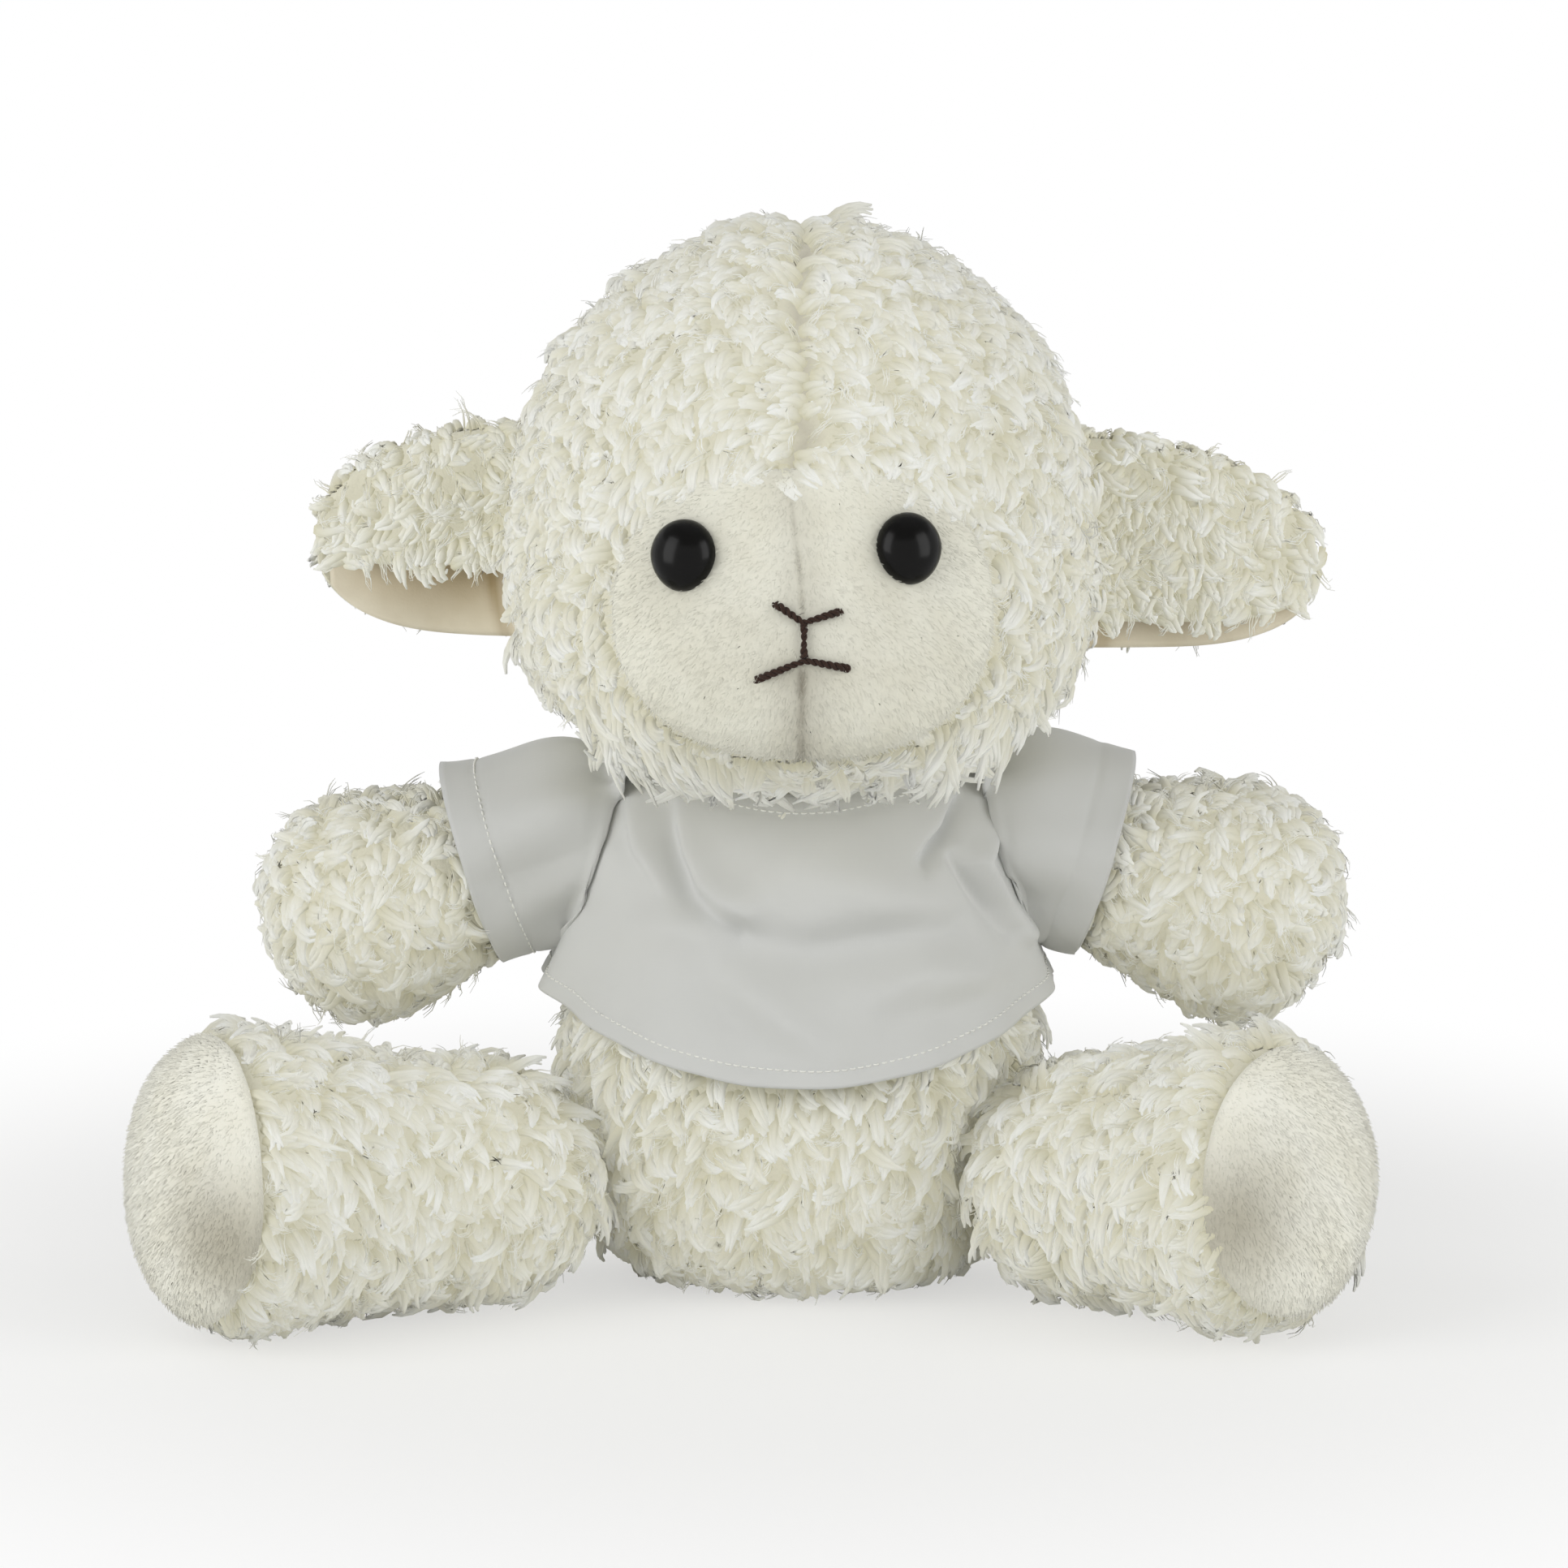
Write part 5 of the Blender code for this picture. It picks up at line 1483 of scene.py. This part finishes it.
def blur(table, around, along):
    """Rounds of smoothing of a table whose first axis is a closed loop."""
    for _ in range(around):
        table = (np.roll(table, 1, 0) + 2.0 * table + np.roll(table, -1, 0)) / 4.0
    for _ in range(along):
        table[:, 1:-1] = (table[:, :-2] + 2.0 * table[:, 1:-1] + table[:, 2:]) / 4.0
    return table


LEVELS = np.arange(50 * MM, 121 * MM, 1.0 * MM)
loops = blur(np.array([taut_loop(level) for level in LEVELS]).T, 5, 4)


def shirt_reach(turn, z):
    place = (turn / (2.0 * math.pi) % 1.0) * TURNS
    level = min(max((z - LEVELS[0]) / (LEVELS[1] - LEVELS[0]), 0.0), len(LEVELS) - 1.001)
    i, j = int(place), int(level)
    u, v = place - i, level - j
    i, k = i % TURNS, (i + 1) % TURNS
    return ((loops[i, j] * (1 - u) + loops[k, j] * u) * (1 - v)
            + (loops[i, j + 1] * (1 - u) + loops[k, j + 1] * u) * v)


print("taut loops:", loops.shape)


# %% Folds of the shirt
# Each fold is a line of (x, z) places in mm on the front or back, its half width and its depth.
# A ridge stands out and a valley, with a negative depth, goes in.
FRONT_FOLDS = [
    ([(-36, 109), (-34, 101), (-30, 94)], 2.6, 1.1),
    ([(-31, 108), (-29, 99), (-24, 91), (-15, 85)], 3.4, -1.3),
    ([(-26, 104), (-22, 95), (-12, 89)], 3.8, 0.9),
    ([(-13, 82), (2, 80), (18, 82), (33, 83)], 5.5, -1.9),
    ([(-36, 84), (-20, 87), (-8, 93)], 5.0, 0.8),
    ([(0, 97), (14, 94), (28, 88)], 6.0, 0.9),
    ([(37, 111), (33, 103), (27, 98)], 1.9, -1.7),
    ([(41, 104), (38, 97), (44, 86), (49, 80)], 2.2, 1.5),
    ([(34, 98), (39, 91), (45, 82)], 2.2, -1.5),
    ([(-14, 76), (-4, 68), (6, 62)], 4.5, 0.8),
    ([(-24, 74), (-14, 64), (-6, 58)], 4.5, -0.6),
    ([(16, 74), (26, 77), (38, 74)], 4.5, 0.9),
    ([(20, 66), (32, 67), (44, 70)], 4.0, -0.6),
]
BACK_FOLDS = [
    ([(-42, 100), (-30, 94), (-16, 90)], 3.5, -1.1),
    ([(42, 101), (30, 95), (18, 92)], 3.5, -1.1),
    ([(-44, 88), (-28, 82), (-14, 80)], 4.5, 0.9),
    ([(44, 88), (30, 80), (18, 78)], 4.5, 0.9),
    ([(-30, 74), (-22, 68), (-20, 64)], 4.0, -0.8),
    ([(34, 76), (27, 70), (25, 64)], 4.0, -0.8),
]
FOLD_STRENGTH = 3.0                   # all folds alike are pressed in this much deeper


def line_gap(x, z, route):
    """Distance from a place to a route, and how far along it the nearest point lies."""
    best = (1e9, 0.0)
    for index, ((x0, z0), (x1, z1)) in enumerate(zip(route, route[1:])):
        dx, dz = x1 - x0, z1 - z0
        share = min(max(((x - x0) * dx + (z - z0) * dz) / (dx * dx + dz * dz), 0.0), 1.0)
        gap = math.hypot(x - x0 - dx * share, z - z0 - dz * share)
        best = min(best, (gap, (index + share) / (len(route) - 1)))
    return best


def fold_lift(x, y, z):
    lift = 0.0
    for route, width, depth in (FRONT_FOLDS if y < 0 else BACK_FOLDS):
        gap, share = line_gap(x / MM, z / MM, route)
        fade = 0.55 + 0.45 * math.sin(math.pi * share)
        lift += depth * MM * math.exp(-(gap / width) ** 2) * fade
    return FOLD_STRENGTH * lift * min(abs(y) / (14 * MM), 1.0)


def hem_level(turn):
    """Lowest in front, highest at the sides; turn 0 is the toy's left, -90 degrees its front."""
    middle = HEM_FRONT if math.sin(turn) < 0 else HEM_BACK
    return HEM_SIDE + (middle - HEM_SIDE) * abs(math.sin(turn)) ** 1.7


def neck_level(turn):
    middle = NECK_FRONT if math.sin(turn) < 0 else NECK_BACK
    side = 117 * MM
    return side + (middle - side) * abs(math.sin(turn)) ** 1.3


def shirt_point(turn, z):
    """A place on the cloth; turn runs from the under lap round to the upper one."""
    out = Vector((math.cos(turn), math.sin(turn), 0.0))
    reach = shirt_reach(turn, z)
    flat = out * reach
    low, high = hem_level(turn), neck_level(turn)
    near_hem = min(max((z - low) / (22 * MM), 0.0), 1.0)
    flare = 3.0 * MM * (1.0 - near_hem) ** 2 * (0.5 + 0.5 * abs(math.sin(turn)))
    turned_up = 0.25 * MM * (z - low < HEM_WIDTH) + 0.2 * MM * (high - z < HEM_WIDTH)
    stitch_pull = 0.25 * MM * (math.exp(-((z - low - HEM_WIDTH) / (0.9 * MM)) ** 2)
                               + math.exp(-((high - z - HEM_WIDTH) / (0.9 * MM)) ** 2))
    ripple = 0.35 * MM * math.sin(17.0 * turn + 0.7) * (1.0 - near_hem) ** 2
    side_seam = 0.5 * MM * math.exp(-(flat.y / (0.7 * MM)) ** 2)
    lift = flare + turned_up - stitch_pull + ripple - side_seam + fold_lift(flat.x, flat.y, z)
    lap = (turn - LAP_START) / (LAP_END - LAP_START)
    over = min(max((lap - 0.90) / 0.07, 0.0), 1.0)
    lift += LAP_RISE * over * over * (3.0 - 2.0 * over)
    return flat + out * lift + Vector((0.0, 0.0, z))


LAP_START = math.pi / 2.0 - LAP
LAP_END = LAP_START + 2.0 * math.pi + 2.0 * LAP


def inside_armhole(spot):
    """True well inside a sleeve's seam, where the body of the shirt is cut away."""
    hand = "left" if spot.x > 0 else "right"
    if abs(spot.x) < seam_reach(hand, spot.z) - 1.6 * MM:
        return False
    nearest, normal, _, _ = arm_trees[hand].find_nearest(spot)
    return (spot - nearest).dot(normal) < -0.2 * MM


# %% Sew the body of the shirt
SHIRT_TURNS, SHIRT_ROWS = 420, 84


def shirt_grid():
    """The tube of cloth without the faces inside the armholes and the points that only they use."""
    points, uv = [], []
    for i in range(SHIRT_TURNS + 1):
        turn = LAP_START + (LAP_END - LAP_START) * i / SHIRT_TURNS
        low, high = hem_level(turn), neck_level(turn)
        for j in range(SHIRT_ROWS + 1):
            z = low + (high - low) * j / SHIRT_ROWS
            points.append(tuple(shirt_point(turn, z)))
            uv.append((turn * 48 * MM, z))
    faces = np.array([quad for quad in grid_quads(SHIRT_TURNS, SHIRT_ROWS)
                      if not inside_armhole(sum((Vector(points[k]) for k in quad), Vector()) / 4.0)])
    used = np.unique(faces)
    index = np.full(len(points), -1)
    index[used] = np.arange(len(used))
    return np.array(points)[used], index[faces], np.array(uv)[used]


points, faces, uv = shirt_grid()
shirt = mesh_piece("shirt_body", points, faces, jersey, uv=uv)
thicken(shirt, KNIT_THICKNESS)
dress(shirt, "torso", "knit", "shirt_front", "shirt_back_right", "shirt_back_left")


# %% Pile that shows inside the collar
# A band of fleece behind the neck's edge, so that nothing bare shows when the head turns or nods.
def in_collar(places, normals):
    turns = np.arctan2(places[:, 1], places[:, 0])
    edge = np.array([shirt_reach(turn, neck_level(turn)) for turn in turns])
    return (np.hypot(places[:, 0], places[:, 1]) < edge - 1.5 * MM) & (places[:, 2] > 95 * MM)


grow("collar_pile", "torso", "fleece", torso_base, HANGING, in_collar, downwards, sherpa, 12)

# %% Sleeves
SLEEVE_PUFF = {"left": (2.8, -1.2), "right": (3.0, -1.2)}   # ease in mm above and below the arm
SLEEVE_ROWS, SLEEVE_TURNS = 36, 120


def sleeve_frame(hand):
    """Where a sleeve's arm starts and the directions along it, up and to its side."""
    shoulder, axis, _, _ = arms[hand]
    up = (UP - axis * axis.z).normalized()
    return shoulder, axis, up, up.cross(axis)


def sleeve_point(hand, along, turn):
    shoulder, axis, up, side = sleeve_frame(hand)
    out = up * math.cos(turn) + side * math.sin(turn)
    middle = shoulder + axis * along
    hit = arm_trees[hand].ray_cast(middle + out * REACH / 2.0, -out, REACH / 2.0)
    reach = REACH / 2.0 - hit[3] if hit[0] else 18 * MM
    return middle + out * reach, out


def sleeve_start(hand, turn):
    """Where the sleeve meets the armhole's plane."""
    along = -24 * MM
    while along < 10 * MM:
        spot, _ = sleeve_point(hand, along, turn)
        if abs(spot.x) >= seam_reach(hand, spot.z):
            break
        along += 1.0 * MM
    return along


def sleeve_table(hand):
    """Where the sleeve starts at each turn, its cuff, and its distance from the arm's middle line."""
    cuff = arms[hand][2] + 2 * MM
    turns = [2.0 * math.pi * i / SLEEVE_TURNS for i in range(SLEEVE_TURNS)]
    starts = np.array([sleeve_start(hand, turn) for turn in turns])
    starts = blur(starts[:, None], 6, 0)[:, 0] - 4.5 * MM
    shoulder, axis, _, _ = sleeve_frame(hand)
    reach = np.zeros((SLEEVE_TURNS, SLEEVE_ROWS + 1))
    for i, turn in enumerate(turns):
        for j in range(SLEEVE_ROWS + 1):
            along = starts[i] + (cuff - starts[i]) * j / SLEEVE_ROWS
            spot, out = sleeve_point(hand, along, turn)
            reach[i, j] = (spot - shoulder - axis * along).dot(out)
    return starts, cuff, blur(reach, 5, 3)


sleeve_tables = {hand: sleeve_table(hand) for hand in HANDS}


def sleeve_spot(hand, i, share):
    """A place on the sleeve's cloth, share 0 at the armhole and 1 at the cuff."""
    starts, cuff, table = sleeve_tables[hand]
    shoulder, axis, up, side = sleeve_frame(hand)
    near, far = int(i) % SLEEVE_TURNS, (int(i) + 1) % SLEEVE_TURNS
    u = i - int(i)
    row = min(share * SLEEVE_ROWS, SLEEVE_ROWS - 0.001)
    j, v = int(row), row - int(row)
    start = starts[near] * (1 - u) + starts[far] * u
    reach = ((table[near, j] * (1 - u) + table[far, j] * u) * (1 - v)
             + (table[near, j + 1] * (1 - u) + table[far, j + 1] * u) * v)
    turn = 2.0 * math.pi * i / SLEEVE_TURNS
    out = up * math.cos(turn) + side * math.sin(turn)
    above, below = SLEEVE_PUFF[hand]
    ease = above if math.cos(turn) > 0 else below
    ease = (below + (ease - below) * abs(math.cos(turn))) * MM
    ease *= 0.35 + 0.65 * math.sin(math.pi * min(share, 0.5))
    folds = 2.1 * MM * math.sin(4.0 * turn + 1.6 * share + (0.4 if hand == "left" else 2.3))
    folds += 1.1 * MM * math.sin(7.0 * turn - 2.0 * share + 1.0)
    folds *= (1.0 - share) ** 0.6 * min(share * 5.0, 1.0)
    along = start + (cuff - start) * share
    turned_up = 0.2 * MM * (cuff - along < CUFF_WIDTH)
    stitch_pull = 0.25 * MM * bell(cuff - along - CUFF_WIDTH, 0.9 * MM)
    cap = 0.9 * MM * bell(share - 0.07, 0.05)
    reach += SHIRT_EASE + ease + folds + turned_up - stitch_pull + cap
    spot = shoulder + axis * along + out * reach
    return over_shirt(hand, spot, share), out


def over_shirt(hand, spot, share):
    """Near the armhole the sleeve lies just over the edge of the shirt's body."""
    flat = math.hypot(spot.x, spot.y)
    turn = math.atan2(spot.y, spot.x)
    if share > 0.3:
        return spot
    level = neck_level(turn)
    if spot.z > level:
        return Vector((spot.x, spot.y, level + (spot.z - level) * share / 0.3))
    least = shirt_reach(turn, spot.z) + 0.8 * MM
    pull = max(least - flat, 0.0) * (1.0 - share / 0.3)
    return spot + Vector((spot.x, spot.y, 0.0)) / flat * pull


def bend_at_shoulder(piece):
    """Bake the piece's placement into its points."""
    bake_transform(piece)


for hand in HANDS:
    points, uv = [], []
    for i in range(SLEEVE_TURNS):
        for j in range(SLEEVE_ROWS + 1):
            points.append(tuple(sleeve_spot(hand, i, j / SLEEVE_ROWS)[0]))
            uv.append((i * 1.2 * MM, j * 0.9 * MM))
    faces = grid_quads(SLEEVE_TURNS, SLEEVE_ROWS) % len(points)
    faces = faces if hand == "left" else faces[:, [0, 3, 2, 1]]
    sleeve = mesh_piece("sleeve_%s_jersey" % hand, points, faces, jersey, uv=uv)
    thicken(sleeve, KNIT_THICKNESS)
    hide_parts("sleeve_" + hand)
    bend_at_shoulder(sleeve)



# %% [markdown]
# ## Thread and tape
#
# White thread holds the hems: a row of short straight stitches 1.8 mm apart, each pulled a little
# into the cloth at both ends. The back closes with hook tape on the upper lap and loop tape on the
# lower one, each sewn on round its edge. The head is closed onto the neck with a ring of ladder
# stitches in the same thread.

# %% Rows of stitches
STITCH_PITCH = 1.8 * MM
STITCH_LENGTH = 1.35 * MM
THREAD_RADIUS = 0.19 * MM


def stitch_row(route, outs, pitch=STITCH_PITCH, skip=None):
    """Tubes for straight stitches along a route; outs point away from the cloth."""
    route, outs = np.asarray(route, float), np.asarray(outs, float)
    run = np.concatenate(([0.0], np.cumsum(np.linalg.norm(np.diff(route, axis=0), axis=1))))
    tubes = []
    for first in np.arange(0.0, run[-1] - STITCH_LENGTH, pitch):
        marks = first + np.linspace(0.0, STITCH_LENGTH, 6)
        spots = np.column_stack([np.interp(marks, run, route[:, axis]) for axis in range(3)])
        away = unit(np.column_stack([np.interp(marks, run, outs[:, axis]) for axis in range(3)]))
        if skip and skip(Vector(spots[3])):
            continue
        rise = np.array([-0.35, 0.15, 0.25, 0.25, 0.15, -0.35])[:, None] * MM
        tubes.append(tube(spots + away * rise, THREAD_RADIUS, sides=6))
    return tubes


def thread_piece(name, tubes):
    return mesh_piece(name, *join_tubes(tubes), white_thread)


def shirt_route(level, first, last, steps=500):
    """Places on the shirt's body at a level for each turn, and the directions out of the cloth."""
    turns = np.linspace(first, last, steps)
    return [shirt_point(turn, level(turn)) for turn in turns], [tuple(radial(turn)) for turn in turns]


rows = []
for level in (lambda turn: hem_level(turn) + HEM_WIDTH, lambda turn: neck_level(turn) - HEM_WIDTH):
    rows += stitch_row(*shirt_route(level, LAP_START, LAP_END), skip=inside_armhole)
BACK_TURN = math.pi / 2.0 + 2.0 * math.pi
TAPE_HALF = math.radians(8.0)
TAPE_ENDS = (BACK_TURN - TAPE_HALF, BACK_TURN + TAPE_HALF)
TAPE_LEVELS = (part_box("hook_tape")[0].z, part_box("hook_tape")[1].z)
for level in TAPE_LEVELS:
    rows += stitch_row(*shirt_route(lambda turn: level, *TAPE_ENDS, 40))
for turn in TAPE_ENDS:
    levels = np.linspace(*TAPE_LEVELS, 30)
    rows += stitch_row([shirt_point(turn, z) for z in levels], [tuple(radial(turn))] * len(levels))
dress(thread_piece("shirt_stitches", rows), "torso", "thread")
print("stitches in the shirt:", len(rows))

for hand in HANDS:
    starts, cuff, _ = sleeve_tables[hand]
    seam = [sleeve_spot(hand, i, 1.0 - CUFF_WIDTH / (cuff - starts[i % SLEEVE_TURNS]))
            for i in range(SLEEVE_TURNS + 1)]
    cuff_row = thread_piece("cuff_%s_stitches" % hand, stitch_row(*zip(*seam)))
    bend_at_shoulder(cuff_row)


# %% Hook and loop tapes
TAPE_CELLS = 24


def make_tape(node, lift, middle):
    """A strip of tape that lies on the cloth, or under it where lift is negative."""
    low, high = TAPE_LEVELS
    points = []
    for i in range(TAPE_CELLS + 1):
        turn = middle + TAPE_HALF * (2.0 * i / TAPE_CELLS - 1.0)
        for j in range(TAPE_CELLS + 1):
            spot = shirt_point(turn, low + (high - low) * j / TAPE_CELLS)
            points.append(tuple(spot + radial(turn) * lift))
    tape = mesh_piece(node + "_strip", points, grid_quads(TAPE_CELLS, TAPE_CELLS), hook_and_loop)
    thicken(tape, 0.7 * MM)
    dress(tape, "torso", "tape", node)


make_tape("loop_tape", 0.5 * MM, math.pi / 2.0)
make_tape("hook_tape", -1.7 * MM, BACK_TURN)



# %% Ladder stitches that close the neck
NECK_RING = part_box("neck_seam")
NECK_RADIUS = (NECK_RING[1].x - NECK_RING[0].x) / 2.0 - 1.0 * MM
ring_level = (NECK_RING[0].z + NECK_RING[1].z) / 2.0
ladder = []
for index in range(46):
    turn = 2.0 * math.pi * index / 46
    out = np.array([math.cos(turn), math.sin(turn), 0.0])
    aside = np.array([-out[1], out[0], 0.0])
    spots = [out * (NECK_RADIUS + rise * MM) + aside * slant * MM + [0.0, 0.0, ring_level + height * MM]
             for rise, slant, height in ((-0.6, -0.4, -1.1), (0.3, -0.3, -0.7), (0.5, 0.0, 0.0),
                                         (0.3, 0.3, 0.7), (-0.6, 0.4, 1.1))]
    ladder.append(tube(spots, 0.3 * MM, sides=6))
circle = [(NECK_RADIUS * math.cos(turn), NECK_RADIUS * math.sin(turn), ring_level)
          for turn in np.linspace(0.0, 2.0 * math.pi, 97)]
ladder.append(tube(circle, 0.35 * MM, sides=6))
ring = thread_piece("neck_ladder_stitches", ladder)
dress(ring, "neck", "thread", "neck_seam")
print("ladder stitches: %d round the neck" % (len(ladder) - 1))
print("pile in all: %.1f million faces" % (sum(TALLY) / 1e6))
